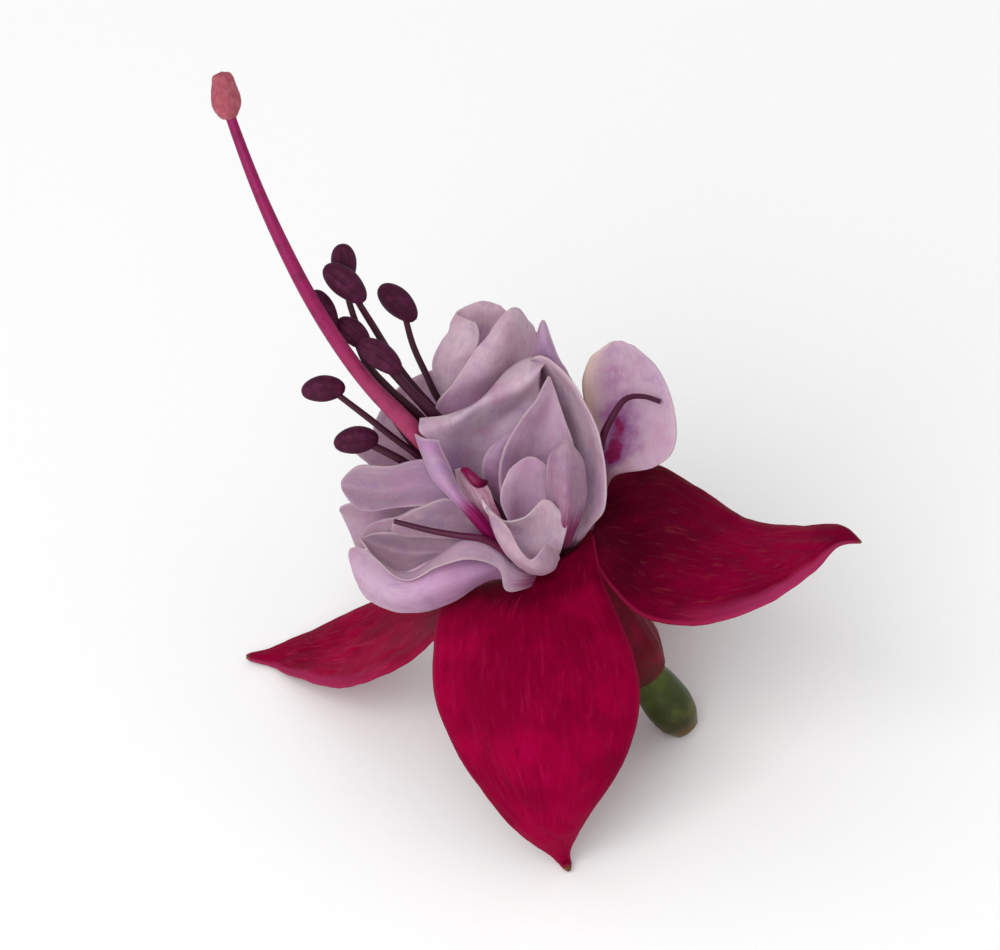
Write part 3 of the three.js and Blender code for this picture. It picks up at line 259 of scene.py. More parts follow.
print("half way along a bend:", spline([(0, 0, 0), (1, 1, 0), (2, 0, 0)], np.array([0.25])).round(3))

# %% [markdown]
# ## A blade: the shape of every petal and sepal
#
# A blade starts as a middle surface, a grid of points between the ribs. Its margin gets a gentle wave and
# its whole face a faint pucker, as thin tissue has. Then the surface is thickened to both sides, thinner
# towards the margin, and closed round the edge. The piece also remembers how far each point is from the
# margin and which face it is on, for the finish to read.

# %% Middle surface of a blade
MIN_TIP_WIDTH = 0.25


def width_share(u, tip_start):
    if u <= tip_start:
        return 1.0
    s = (u - tip_start) / (1 - tip_start)
    return max(MIN_TIP_WIDTH, math.sqrt(1 - s * s))


def middle_surface(ribs, tip_start, rows, columns):
    ribs = [np.array(rib, float) for rib in ribs]
    across = np.linspace(-0.5, 0.5, columns + 1)
    grid = []
    for u in np.linspace(0, 1, rows + 1):
        v = 0.5 + across * width_share(u, tip_start)
        grid.append(spline(np.stack([spline(rib, v) for rib in ribs]), u))
    return np.stack(grid)


def even_normals(grid, passes=2):
    along = np.gradient(grid, axis=0)
    across = np.gradient(grid, axis=1)
    normals = np.cross(across, along)
    for _ in range(passes):
        normals /= np.maximum(np.linalg.norm(normals, axis=-1, keepdims=True), 1e-9)
        framed = np.pad(normals, ((1, 1), (1, 1), (0, 0)), mode="edge")
        normals = framed[:-2, 1:-1] + framed[2:, 1:-1] + framed[1:-1, :-2] + framed[1:-1, 2:] + 2 * normals
    return normals / np.maximum(np.linalg.norm(normals, axis=-1, keepdims=True), 1e-9)


def steps_along(grid, axis):
    lengths = np.linalg.norm(np.diff(grid, axis=axis), axis=-1)
    start = np.zeros_like(grid[..., 0])
    if axis == 0:
        start[1:] = np.cumsum(lengths, axis=0)
    else:
        start[:, 1:] = np.cumsum(lengths, axis=1)
    return start


def distance_to_margin(grid):
    side = steps_along(grid, 1)
    tip = steps_along(grid, 0)
    return np.minimum(np.minimum(side, side[:, -1:] - side), tip[-1:] - tip)


print("a grid of 3 ribs gives", middle_surface([[(0, y, 0), (1, y, 0)] for y in range(3)], 1.0, 4, 2).shape)

# %% [markdown]
# ## Life in the surface
#
# No petal is as smooth as its ribs. Three kinds of smooth noise are added: a slow wave along the margin, a
# faint pucker all over and, on the thick sepals, creases that run lengthways. All of them fade out towards
# the root, where the tissue is held. What would sink into the table slides clear of it.

# %% Waves, puckers and creases
WAVE_REACH = 2.6  # how far in from the margin the wave still lifts the surface
WAVE_GAIN = 1.6
ROOT_HELD = (0.15, 0.45)  # shares of the length between which the surface becomes free
PUCKER_SIZE = 1.3
CREASE_WIDTH = 1.1
CREASE_LENGTH = 6.0
CREASE_START = (0.4, 2.5)  # creases grow in between these distances from the margin
PUCKER_SEED = 40
CREASE_SEED = 60
TABLE_SOFTNESS = 0.2  # how gently a surface bends away from the table


def smooth_step(values, low, high):
    share = np.clip((values - low) / (high - low), 0, 1)
    return share * share * (3 - 2 * share)


def noise_field(grid, size, seed):
    """Smooth noise of -1 to 1 over a grid of points, with bumps about size across."""
    shift = Vector((seed * 7.31, seed * 3.17, seed * 5.53))
    flat = [noise.noise(Vector(point) / size + shift) for point in grid.reshape(-1, 3)]
    return np.array(flat).reshape(grid.shape[:-1])


def lengthways(grid):
    """Places for a noise whose bumps are short across a blade and long along it."""
    across = steps_along(grid, 1) / CREASE_WIDTH
    along = steps_along(grid, 0) / CREASE_LENGTH
    return np.stack((across, along, np.zeros_like(across)), axis=-1)


def rest_on_table(grid, clearance):
    """Slides what would sink into the table out of the bloom's face until it clears the table."""
    height = grid[..., 1] * math.sin(TIP_BACK) + grid[..., 2] * math.cos(TIP_BACK) + BLOOM_ORIGIN[2]
    short = clearance - height
    lifted = grid.copy()
    lifted[..., 2] += (short + np.sqrt(short**2 + TABLE_SOFTNESS**2)) / 2 / math.cos(TIP_BACK)
    return lifted


def enliven(grid, wave, wave_size, pucker, crease, seed):
    margin = distance_to_margin(grid)
    near_margin = 1 - smooth_step(margin, 0.0, WAVE_REACH)
    root_free = smooth_step(np.linspace(0, 1, len(grid)), *ROOT_HELD)[:, None]
    lift = WAVE_GAIN * wave * near_margin * noise_field(grid, wave_size, seed)
    lift += pucker * noise_field(grid, PUCKER_SIZE, seed + PUCKER_SEED)
    if crease:
        ridges = noise_field(lengthways(grid), 1.0, seed + CREASE_SEED)
        lift += crease * smooth_step(margin, *CREASE_START) * ridges
    return grid + even_normals(grid) * (lift * root_free)[..., None]


print("a smooth step half way:", smooth_step(np.array(0.5), 0, 1))

# %% [markdown]
# ## From points to a finished piece
#
# A mesh is made from points and faces, and turned outwards if its volume comes out negative. It carries an
# organ map, across and along the blade, so that a finish can run veins from root to tip. The last steps are
# the same for every piece, so they have one helper: the finish, the body it rides on and the solids that it
# stands for.

# %% Mesh and piece helpers
def closed_mesh(name, vertices, faces):
    """A mesh from bloom millimetres, with its faces turned outwards."""
    mesh = bpy.data.meshes.new(name)
    placed = to_table(vertices)
    mesh.from_pydata(placed.tolist(), [], faces)
    mesh.update()
    mesh.calc_loop_triangles()
    corners = np.array([placed[list(tri.vertices)] for tri in mesh.loop_triangles])
    volume = np.einsum("ij,ij->i", corners[:, 0], np.cross(corners[:, 1], corners[:, 2])).sum() / 6
    if volume < 0:
        mesh.flip_normals()
    mesh.shade_smooth()
    return mesh


def point_values(mesh, name, values):
    layer = mesh.attributes.new(name, "FLOAT", "POINT")
    layer.data.foreach_set("value", np.asarray(values, np.float32).ravel())


def surface_map(mesh, u, v):
    """A UV map that follows the organ: across it, then from its root to its tip."""
    layer = mesh.uv_layers.new(name="organ")
    corner = np.zeros(len(mesh.loops), int)
    mesh.loops.foreach_get("vertex_index", corner)
    both = np.stack((np.ravel(v)[corner], np.ravel(u)[corner]), axis=-1)
    layer.data.foreach_set("uv", both.astype(np.float32).ravel())


def finish_piece(mesh_object, finish, slot, *nodes):
    if finish is not None:
        mesh_object.data.materials.append(finish)
    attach(mesh_object, "root")
    if nodes:
        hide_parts(*nodes)


print("mesh helpers ready")

# %% [markdown]
# ## Both faces and the rim
#
# A blade is one closed skin: the front face, the back face a hair behind it, and a narrow band round the rim
# that joins them. A Solidify modifier could do this too, but here each point keeps its place in the grid,
# which the organ map and the margin need.

# %% Close a blade into a solid skin
TABLE_CLEARANCE = 0.1
MARGIN_WIDTH = 1.2  # a blade thins out over this distance from its margin


def skin_faces(index):
    """Quads of a front grid, of a back grid turned the other way, and of the band round the rim."""
    count = index.size
    a, b, c, d = index[:-1, :-1], index[1:, :-1], index[1:, 1:], index[:-1, 1:]
    front = np.stack((a, b, c, d), -1).reshape(-1, 4)
    back = np.stack((a, d, c, b), -1).reshape(-1, 4) + count
    rim = np.concatenate((index[0, :-1], index[:-1, -1], index[-1, :0:-1], index[:0:-1, 0]))
    following = np.roll(rim, -1)
    band = np.stack((rim, following, following + count, rim + count), -1)
    return np.concatenate((front, back, band)).tolist()


def blade(name, ribs, tip_start=1.0, rows=48, columns=34, thick=(0.34, 0.17), wave=0.25, wave_size=3.2,
          pucker=0.05, crease=0.0, seed=1):
    """thick is the thickness in the middle and at the margin, in millimetres."""
    grid = enliven(middle_surface(ribs, tip_start, rows, columns), wave, wave_size, pucker, crease, seed)
    grid = rest_on_table(grid, thick[0] / 2 + TABLE_CLEARANCE)
    margin = distance_to_margin(grid)
    half_thick = (thick[1] + (thick[0] - thick[1]) * smooth_step(margin, 0.0, MARGIN_WIDTH)) / 2
    offset = even_normals(grid) * half_thick[..., None]
    vertices = np.concatenate(((grid + offset).reshape(-1, 3), (grid - offset).reshape(-1, 3)))
    index = np.arange(margin.size).reshape(margin.shape)
    mesh = closed_mesh(name, vertices, skin_faces(index))
    u, v = np.meshgrid(np.linspace(0, 1, rows + 1), np.linspace(0, 1, columns + 1), indexing="ij")
    surface_map(mesh, np.tile(u.ravel(), 2), np.tile(v.ravel(), 2))
    point_values(mesh, "margin_mm", np.tile(margin.ravel(), 2))
    point_values(mesh, "front_face", np.repeat((1.0, 0.0), margin.size))
    return link(name, mesh)


print("faces of a 2 by 2 grid:", len(skin_faces(np.arange(4).reshape(2, 2))))

# %% [markdown]
# ## The petals' finish
#
# A petal is lilac, with a painted cream highlight along its margin and a painted greyer, more violet shade
# towards its root, down in the folds, and it is stained magenta where it joins the tube. Fine veins run from
# root to tip. Light also comes through it, so some of the colour is given to a shader that passes light.

# %% Inputs of the petal colour group
PETAL_CREAM = colour(222, 204, 204)
PETAL_MAGENTA = colour(150, 8, 92)
PETAL_VEIN = colour(156, 108, 152)
PETAL_VIOLET = colour(156, 120, 178)
PETAL_BLUSH = colour(206, 146, 184)
PETAL_INPUTS = {
    "Pale": colour(198, 170, 190),
    # Deep is the colour of the painted shade towards the root, and of the darker clouds.
    "Deep": colour(148, 114, 156),
    "Back": colour(192, 164, 180),
    "Vein colour": PETAL_VEIN,
    "Side": PETAL_CREAM,
    "Stain reach": 0.3,
    "Stain": 0.8,
    "Vein": 0.12,
    "Rim highlight": 0.5,
    "Side share": 0.0,
    "Side reach": 0.3,
    "Bruise": 0.0,
    "Seed": 0.0,
}

petal_group = bpy.data.node_groups.new("petal_colour", "ShaderNodeTree")
for name, value in PETAL_INPUTS.items():
    kind = "NodeSocketFloat" if isinstance(value, float) else "NodeSocketColor"
    petal_group.interface.new_socket(name, in_out="INPUT", socket_type=kind).default_value = value
petal_group.interface.new_socket("Colour", in_out="OUTPUT", socket_type="NodeSocketColor")
petal_group.interface.new_socket("Height", in_out="OUTPUT", socket_type="NodeSocketFloat")
tree = petal_group
given = add_node(tree, "NodeGroupInput").outputs
print("petal inputs:", len(PETAL_INPUTS))

# %% [markdown]
# The organ map gives the two directions of a petal. A noise stretched along it makes the veins, and one on
# the object's own places makes the soft clouds of paler and deeper lilac. The front is coloured apart from
# the back, because a petal is often paler outside.

# %% Veins and painted fold shade
VEINS_ACROSS = 22.0
VEINS_ALONG = 2.2
CLOUD_SCALE = 190.0

across, along = organ_map(tree)
seeded = sum_up(tree, "MULTIPLY", given["Seed"], 3.7)
vein_x = sum_up(tree, "ADD", sum_up(tree, "MULTIPLY", across, VEINS_ACROSS), seeded)
vein_y = sum_up(tree, "MULTIPLY", along, VEINS_ALONG)
vein_place = add_node(tree, "ShaderNodeCombineXYZ", {0: vein_x, 1: vein_y, 2: seeded})
streak = cells(tree, vein_place.outputs[0], 1.0, 3.0, 0.6, 0.5)
off_centre = sum_up(tree, "ABSOLUTE", sum_up(tree, "SUBTRACT", streak, 0.5), 0.0)
vein = ease(tree, off_centre, 0.05, 0.0)
clouds = cells(tree, own_place(tree), CLOUD_SCALE, 2.0, 0.5)
# Painted shade: towards the root both faces turn to the deep colour, as the folds of the throat shade them.
# The clouds add to it at random.
fold_shade_and_clouds = sum_up(tree, "ADD", ease(tree, along, 0.9, 0.2, 0.6), ease(tree, clouds, 0.42, 0.68, 0.4))
front = mix(tree, fold_shade_and_clouds, given["Pale"], given["Deep"])
back = mix(tree, ease(tree, along, 0.8, 0.2, 0.5), given["Back"], given["Deep"])
body = mix(tree, attribute(tree, "front_face"), back, front)
body = mix(tree, ease(tree, streak, 0.35, 0.8, 0.1), body, given["Vein colour"])
print("veins and folds:", len(tree.nodes), "nodes so far")

# %% [markdown]
# Two finer noises make the tissue: specks of cream and violet, and a blush in patches. A flank can be
# another colour, as on the petal at the right, which is creamy on one side; on the hood that colour is a
# painted plum shade. The rim gets a painted cream highlight, uneven with the clouds.

# %% Tissue, flank and painted rim highlight
TISSUE_SCALE = 900.0
BLUSH_SCALE = 300.0
RIM_HIGHLIGHT_WIDTH = 0.45  # millimetres of painted cream highlight at the margin

tissue = cells(tree, own_place(tree), TISSUE_SCALE, 4.0, 0.65)
body = mix(tree, ease(tree, tissue, 0.5, 0.75, 0.28), body, PETAL_CREAM)
body = mix(tree, ease(tree, tissue, 0.5, 0.25, 0.2), body, PETAL_VIOLET)
blush = cells(tree, own_place(tree), BLUSH_SCALE, 3.0, 0.6, 0.6)
body = mix(tree, ease(tree, blush, 0.5, 0.68, 0.35), body, PETAL_BLUSH)
body = mix(tree, ease(tree, blush, 0.48, 0.32, 0.3), body, PETAL_VIOLET)
body = mix(tree, sum_up(tree, "MULTIPLY", vein, given["Vein"]), body, given["Vein colour"])
soft_edge = sum_up(tree, "MULTIPLY", sum_up(tree, "SUBTRACT", clouds, 0.5), 0.3)
side_share = ease(tree, sum_up(tree, "ADD", across, soft_edge), given["Side reach"], 0.0, given["Side share"])
body = mix(tree, side_share, body, given["Side"])
# Painted highlight: the rim turns cream as if light caught it, more in some clouds than in others.
uneven_rim_highlight = sum_up(tree, "MULTIPLY", given["Rim highlight"], ease(tree, clouds, 0.3, 0.6))
rim = sum_up(tree, "MULTIPLY", ease(tree, attribute(tree, "margin_mm"), RIM_HIGHLIGHT_WIDTH, 0.0), uneven_rim_highlight)
body = mix(tree, rim, body, PETAL_CREAM)
print("tissue, flank and rim:", len(tree.nodes), "nodes so far")

# %% [markdown]
# Where a petal joins the tube, magenta runs up it in ragged streaks. One petal also has a bruise, a red
# patch in a violet haze, which is placed by the organ map and broken up by a noise.

# %% Stain and bruise
BRUISE_VIOLET = colour(156, 62, 150)
BRUISE_RED = colour(160, 4, 84)
BRUISE_PLACE = (0.4, 0.45, 0.0)  # across, then along
SPOT_SCALE = 520.0
FINE_SCALE = 5200.0
STAIN_FADE = 0.18  # how much of the length the stain takes to fade out

uneven = sum_up(tree, "MULTIPLY", sum_up(tree, "SUBTRACT", streak, 0.5), 0.35)
ragged = sum_up(tree, "SUBTRACT", along, uneven)
stain_start = sum_up(tree, "SUBTRACT", given["Stain reach"], STAIN_FADE)
stain_share = ease(tree, ragged, given["Stain reach"], stain_start, given["Stain"])
body = mix(tree, stain_share, body, PETAL_MAGENTA)
spots = cells(tree, own_place(tree), SPOT_SCALE, 3.0, 0.6)
flat_place = add_node(tree, "ShaderNodeCombineXYZ", {0: across, 1: along}).outputs[0]
away = add_node(tree, "ShaderNodeVectorMath", {0: flat_place, 1: BRUISE_PLACE}, operation="DISTANCE")
broken = sum_up(tree, "MULTIPLY", sum_up(tree, "SUBTRACT", 0.5, spots), 0.55)
broken_away = sum_up(tree, "ADD", away.outputs["Value"], broken)
haze = sum_up(tree, "MULTIPLY", ease(tree, broken_away, 0.42, 0.06, 0.8), given["Bruise"])
core = sum_up(tree, "MULTIPLY", ease(tree, broken_away, 0.15, 0.04, 0.9), given["Bruise"])
body = mix(tree, core, mix(tree, haze, body, BRUISE_VIOLET), BRUISE_RED)
fine = cells(tree, own_place(tree), FINE_SCALE, 2.0)
height = sum_up(tree, "ADD", streak, sum_up(tree, "MULTIPLY", fine, 0.25))
add_node(tree, "NodeGroupOutput", {"Colour": body, "Height": height})
print("petal colour group:", len(tree.nodes), "nodes")

# %% [markdown]
# The colour goes to two shaders: a soft skin with a faint sheen, and one that lets light through. Their
# mix is what makes a petal glow at its thin edges.

# %% Petal finish
PETAL_LETS_THROUGH = 0.38
PETAL_RELIEF = 0.00012


def petal_finish(name, **inputs):
    finish, tree = new_finish(name)
    group = add_node(tree, "ShaderNodeGroup", node_tree=petal_group)
    for key, value in inputs.items():
        group.inputs[key.replace("_", " ").capitalize()].default_value = value
    bump = add_node(tree, "ShaderNodeBump", {"Height": group.outputs["Height"], "Strength": 0.35,
                    "Distance": PETAL_RELIEF})
    skin = add_node(tree, "ShaderNodeBsdfPrincipled", {"Base Color": group.outputs["Colour"],
                    "Roughness": 0.55, "Specular IOR Level": 0.2, "Sheen Weight": 0.05,
                    "Sheen Roughness": 0.4, "Normal": bump.outputs[0]})
    glow = add_node(tree, "ShaderNodeBsdfTranslucent", {"Color": group.outputs["Colour"]})
    both = add_node(tree, "ShaderNodeMixShader", {0: PETAL_LETS_THROUGH, 1: skin.outputs[0],
                    2: glow.outputs[0]})
    show(tree, both.outputs[0])
    return finish


print("light through a petal:", PETAL_LETS_THROUGH)

# %% [markdown]
# ## The sepals' finish
#
# Sepals are thicker than petals, deep crimson and satin, with a fine crinkle that runs along them. Painted
# shade darkens them towards the tube and in the crinkle's troughs, painted sheen lightens its crests, painted
# highlight makes them pinker along their margins and rolled edges, and they end in a greenish brown hook.

# %% Sepal finish
SEPAL_SHINE = colour(255, 150, 190)
SEPAL_SHADE = colour(78, 0, 22)
SEPAL_RIM_HIGHLIGHT = colour(144, 26, 62)
SEPAL_HOOK = colour(112, 86, 60)
GRAIN_ACROSS = 34.0
GRAIN_ALONG = 11.0
CRINKLE_SCALE = 2600.0
SEPAL_RELIEF = 0.0003


def sepal_finish(name, bright, dark, fleck, fleck_share, seed, shade_reach, band, edge_highlight_share):
    finish, tree = new_finish(name)
    across, along = organ_map(tree)
    grain_place = add_node(tree, "ShaderNodeCombineXYZ", {0: sum_up(tree, "MULTIPLY", across, GRAIN_ACROSS),
                           1: sum_up(tree, "MULTIPLY", along, GRAIN_ALONG), 2: float(seed)}).outputs[0]
    grain = cells(tree, grain_place, 1.0, 5.0, 0.65, 0.4)
    clouds = cells(tree, own_place(tree), 130.0, 3.0, 0.55)
    # Painted shade: the sepal turns to its dark colour towards the tube, within shade_reach of its length,
    # where the corolla shades it. The clouds vary the tone at random.
    tube_shade_and_clouds = sum_up(tree, "ADD", ease(tree, clouds, 0.66, 0.38, 0.5), ease(tree, along, shade_reach, 0.1, 0.6))
    base = mix(tree, tube_shade_and_clouds, bright, dark)
    # Painted sheen: the fleck colour lies on the crests of the lengthways crinkle, as light catching it.
    with_crest_sheen = mix(tree, ease(tree, grain, 0.53, 0.7, fleck_share), base, fleck)
    # Painted shade: the crinkle's troughs darken.
    trough_shaded = mix(tree, ease(tree, grain, 0.44, 0.28, 0.4), with_crest_sheen, SEPAL_SHADE)
    # Painted highlight: a pinker line along the margin, where the edge turns to the light.
    with_rim_highlight = mix(tree, ease(tree, attribute(tree, "margin_mm"), 0.5, 0.1, 0.6), trough_shaded, SEPAL_RIM_HIGHLIGHT)
    # Painted highlight: the band colour on the rolled edge at one side, further out along the sepal.
    at_side, far_out = ease(tree, across, 0.84, 0.95), ease(tree, along, 0.3, 0.6, edge_highlight_share)
    with_edge_highlight = mix(tree, sum_up(tree, "MULTIPLY", at_side, far_out), with_rim_highlight, band)
    tipped = mix(tree, ease(tree, along, 0.96, 0.992, 0.85), with_edge_highlight, SEPAL_HOOK)
    fine = cells(tree, own_place(tree), CRINKLE_SCALE, 4.0, 0.6)
    height = sum_up(tree, "ADD", grain, sum_up(tree, "MULTIPLY", fine, 0.45))
    bump = add_node(tree, "ShaderNodeBump", {"Height": height, "Strength": 0.6, "Distance": SEPAL_RELIEF})
    skin = add_node(tree, "ShaderNodeBsdfPrincipled", {"Base Color": tipped, "Roughness": 0.5,
                    "Specular IOR Level": 0.025, "Specular Tint": SEPAL_SHINE,
                    "Normal": bump.outputs[0]})
    show(tree, skin.outputs[0])
    return finish


print("sepal finish ready")

# %% [markdown]
# ## Sepals
#
# Four sepals grow from the rim of the tube. Three of them rest on the table by their tips. Each has six to
# eight ribs from root to tip, and arches like the keel of a boat turned over.

# %% Looks of the sepals
CRIMSON = colour(144, 0, 50)
CRIMSON_DARK = colour(84, 0, 24)
SHADED_CRIMSON = colour(126, 0, 45)
SHADED_WINE = colour(76, 0, 24)
PINK_CREST_SHEEN = colour(168, 20, 76)
TAN_CREST_SHEEN = colour(140, 64, 62)
DUSTY_PINK_SHEEN = colour(170, 52, 84)
ROLLED_EDGE_HIGHLIGHT = colour(164, 54, 98)
# In these looks dark is the colour of the painted shade and of darker clouds, fleck that of the painted sheen
# on the crinkle's crests, and band that of the painted highlight on a rolled edge.
PLAIN_CRIMSON = dict(bright=CRIMSON, dark=CRIMSON_DARK, band=ROLLED_EDGE_HIGHLIGHT)
SEPAL_LOOKS = {
    "sepal_front": dict(PLAIN_CRIMSON, fleck=PINK_CREST_SHEEN, fleck_share=0.3, shade_reach=0.18, edge_highlight_share=0.0),
    # Painted shade: the right sepal's darker crimson and wine and its long shade_reach darken the whole
    # sepal.
    "sepal_right": dict(bright=SHADED_CRIMSON, dark=SHADED_WINE, band=ROLLED_EDGE_HIGHLIGHT, fleck=TAN_CREST_SHEEN, fleck_share=0.2,
                        shade_reach=0.62, edge_highlight_share=0.6),
    "sepal_left": dict(PLAIN_CRIMSON, fleck=DUSTY_PINK_SHEEN, fleck_share=0.6, shade_reach=0.3, edge_highlight_share=0.5),
    "sepal_back": dict(PLAIN_CRIMSON, fleck=PINK_CREST_SHEEN, fleck_share=0.3, shade_reach=0.4, edge_highlight_share=0.4),
}
print("sepal looks:", len(SEPAL_LOOKS))

# %% [markdown]
# Each rib is given, from the margin at one side to the margin at the other. The first rib is the root
# on the tube and the last is the pointed tip.

# %% Sepals
SEPALS = {
    "sepal_front": [
        [(1.8, -10.3, 2.4), (6.2, -8.5, 4.8), (9.3, -6.0, 2.8)],
        [(-5.4, -12.6, 1.8), (3.8, -13.4, 7.2), (10.4, -10.8, 5.0)],
        [(-6.6, -18.0, 4.5), (3.8, -18.5, 10.5), (13.3, -18.0, 7.0)],
        [(-6.2, -23.0, 6.5), (4.0, -24.0, 12.5), (13.8, -23.0, 8.5)],
        [(-3.4, -29.0, 7.5), (4.5, -29.5, 12.3), (12.0, -29.0, 8.8)],
        [(1.2, -35.0, 7.6), (5.3, -34.5, 9.6), (8.5, -34.3, 8.0)],
        [(5.3, -38.1, 5.2), (6.2, -37.5, 5.6), (7.0, -37.5, 5.4)],
        [(6.3, -39.6, 3.0), (6.9, -39.4, 3.1), (7.5, -39.1, 3.1)],
    ],
    "sepal_right": [
        [(7.4, -4.8, -1.8), (9.0, -5.6, 0.5), (9.0, -7.8, 2.8)],
        [(10.4, -0.9, -4.6), (12.5, -7.3, 2.0), (11.0, -11.1, 6.5)],
        [(14.5, 1.2, -5.0), (16.2, -7.0, 4.0), (14.5, -14.2, 10.0)],
        [(20.0, -1.4, -1.0), (21.2, -8.1, 7.0), (20.5, -14.8, 12.5)],
        [(25.0, -4.5, 4.0), (26.5, -8.5, 10.0), (26.8, -12.5, 14.5)],
        [(30.0, -5.1, 8.5), (30.6, -7.1, 12.0), (31.2, -9.4, 15.0)],
        [(33.6, -5.1, 11.0), (34.0, -5.7, 12.0), (33.8, -7.0, 13.0)],
        [(35.6, -6.4, 11.0), (35.8, -6.7, 11.1), (35.8, -7.0, 11.4)],
    ],
    "sepal_left": [
        [(1.9, -9.5, -2.0), (2.0, -11.4, 0.5), (3.8, -11.9, 3.0)],
        [(-1.0, -9.0, -8.0), (-3.0, -12.5, -5.0), (-4.8, -15.0, 1.0)],
        [(-8.0, -10.8, -14.0), (-10.0, -15.3, -9.5), (-9.5, -18.9, -2.5)],
        [(-15.0, -13.9, -18.0), (-16.2, -17.5, -15.5), (-15.5, -21.3, -8.0)],
        [(-20.0, -16.2, -20.5), (-20.8, -18.1, -19.0), (-20.7, -20.3, -14.5)],
        [(-23.8, -17.8, -20.9), (-23.8, -18.4, -20.6), (-23.8, -19.1, -19.3)],
        [(-25.7, -18.0, -20.9), (-25.7, -18.4, -20.8), (-25.7, -18.8, -20.6)],
    ],
    "sepal_back": [
        [(2.1, -8.9, -2.4), (4.0, -6.7, -3.3), (6.6, -5.2, -2.4)],
        [(1.0, -9.5, -8.0), (6.0, -6.0, -10.0), (11.5, -3.0, -5.5)],
        [(2.0, -9.5, -17.0), (10.0, -6.0, -18.5), (18.5, -3.2, -12.0)],
        [(6.5, -9.0, -26.5), (14.5, -5.8, -27.5), (21.5, -4.2, -21.5)],
        [(13.5, -6.5, -34.0), (17.0, -5.0, -34.0), (20.5, -4.6, -31.0)],
        [(18.5, -5.1, -37.0), (18.9, -4.8, -37.0), (19.3, -4.6, -36.8)],
    ],
}
for number, (name, ribs) in enumerate(SEPALS.items()):
    sepal = blade("bloom_" + name, ribs, tip_start=0.86, rows=84, columns=48, thick=(0.8, 0.3), wave=0.12,
                  wave_size=4.5, pucker=0.12, crease=0.22, seed=number + 3)
    finish = sepal_finish(name + "_crimson", seed=number, **SEPAL_LOOKS[name])
    finish_piece(sepal, finish, "sepals", name)
    print(name, len(sepal.data.polygons), "faces")

# %% [markdown]
# ## Petals
#
# A double fuchsia has many petals packed in the space of four, so they fold, roll and cup each other. The
# ones at the open face are grown first, and the ones that wrap the skirt behind come last. Each petal names
# its own shades: how pale it is, how dark its painted shade in the folds is, and how far its stain reaches.

# %% Shades of the petals
LILAC = colour(202, 170, 198)
PALE_LILAC = colour(222, 192, 214)
WHITE_LILAC = colour(230, 206, 216)
PINK_LILAC = colour(208, 176, 190)
VIOLET = colour(168, 124, 178)
# The next violet is painted shade: the deep colour of the cup and of the furled petal, where petals above
# shade them.
CUP_SHADE_VIOLET = colour(194, 118, 194)
MAUVE = colour(158, 106, 146)
PALE_MAUVE = colour(196, 148, 184)
SHADE_PLUM = colour(104, 24, 80)
CREAM = colour(248, 226, 206)
MAGENTA_VEIN = colour(176, 40, 116)


def grow_petals(first, petals):
    """petals gives each name its shape and its look. first is the count of the petals already grown."""
    for number, (name, (shape, look)) in enumerate(petals.items(), start=first):
        petal = blade("bloom_" + name, seed=number + 11, **shape)
        finish_piece(petal, petal_finish(name + "_tissue", seed=float(number), **look), "petals", name)
    print("petals grown:", first + len(petals))
    return first + len(petals)


print("a petal's front in full light:", [round(c, 2) for c in WHITE_LILAC[:3]])

# %% [markdown]
# Two petals make a bowl at the front of the open face: a broad lobe that rolls out over the front sepal, and
# a bowl behind it. Two narrower ones stand up inside.

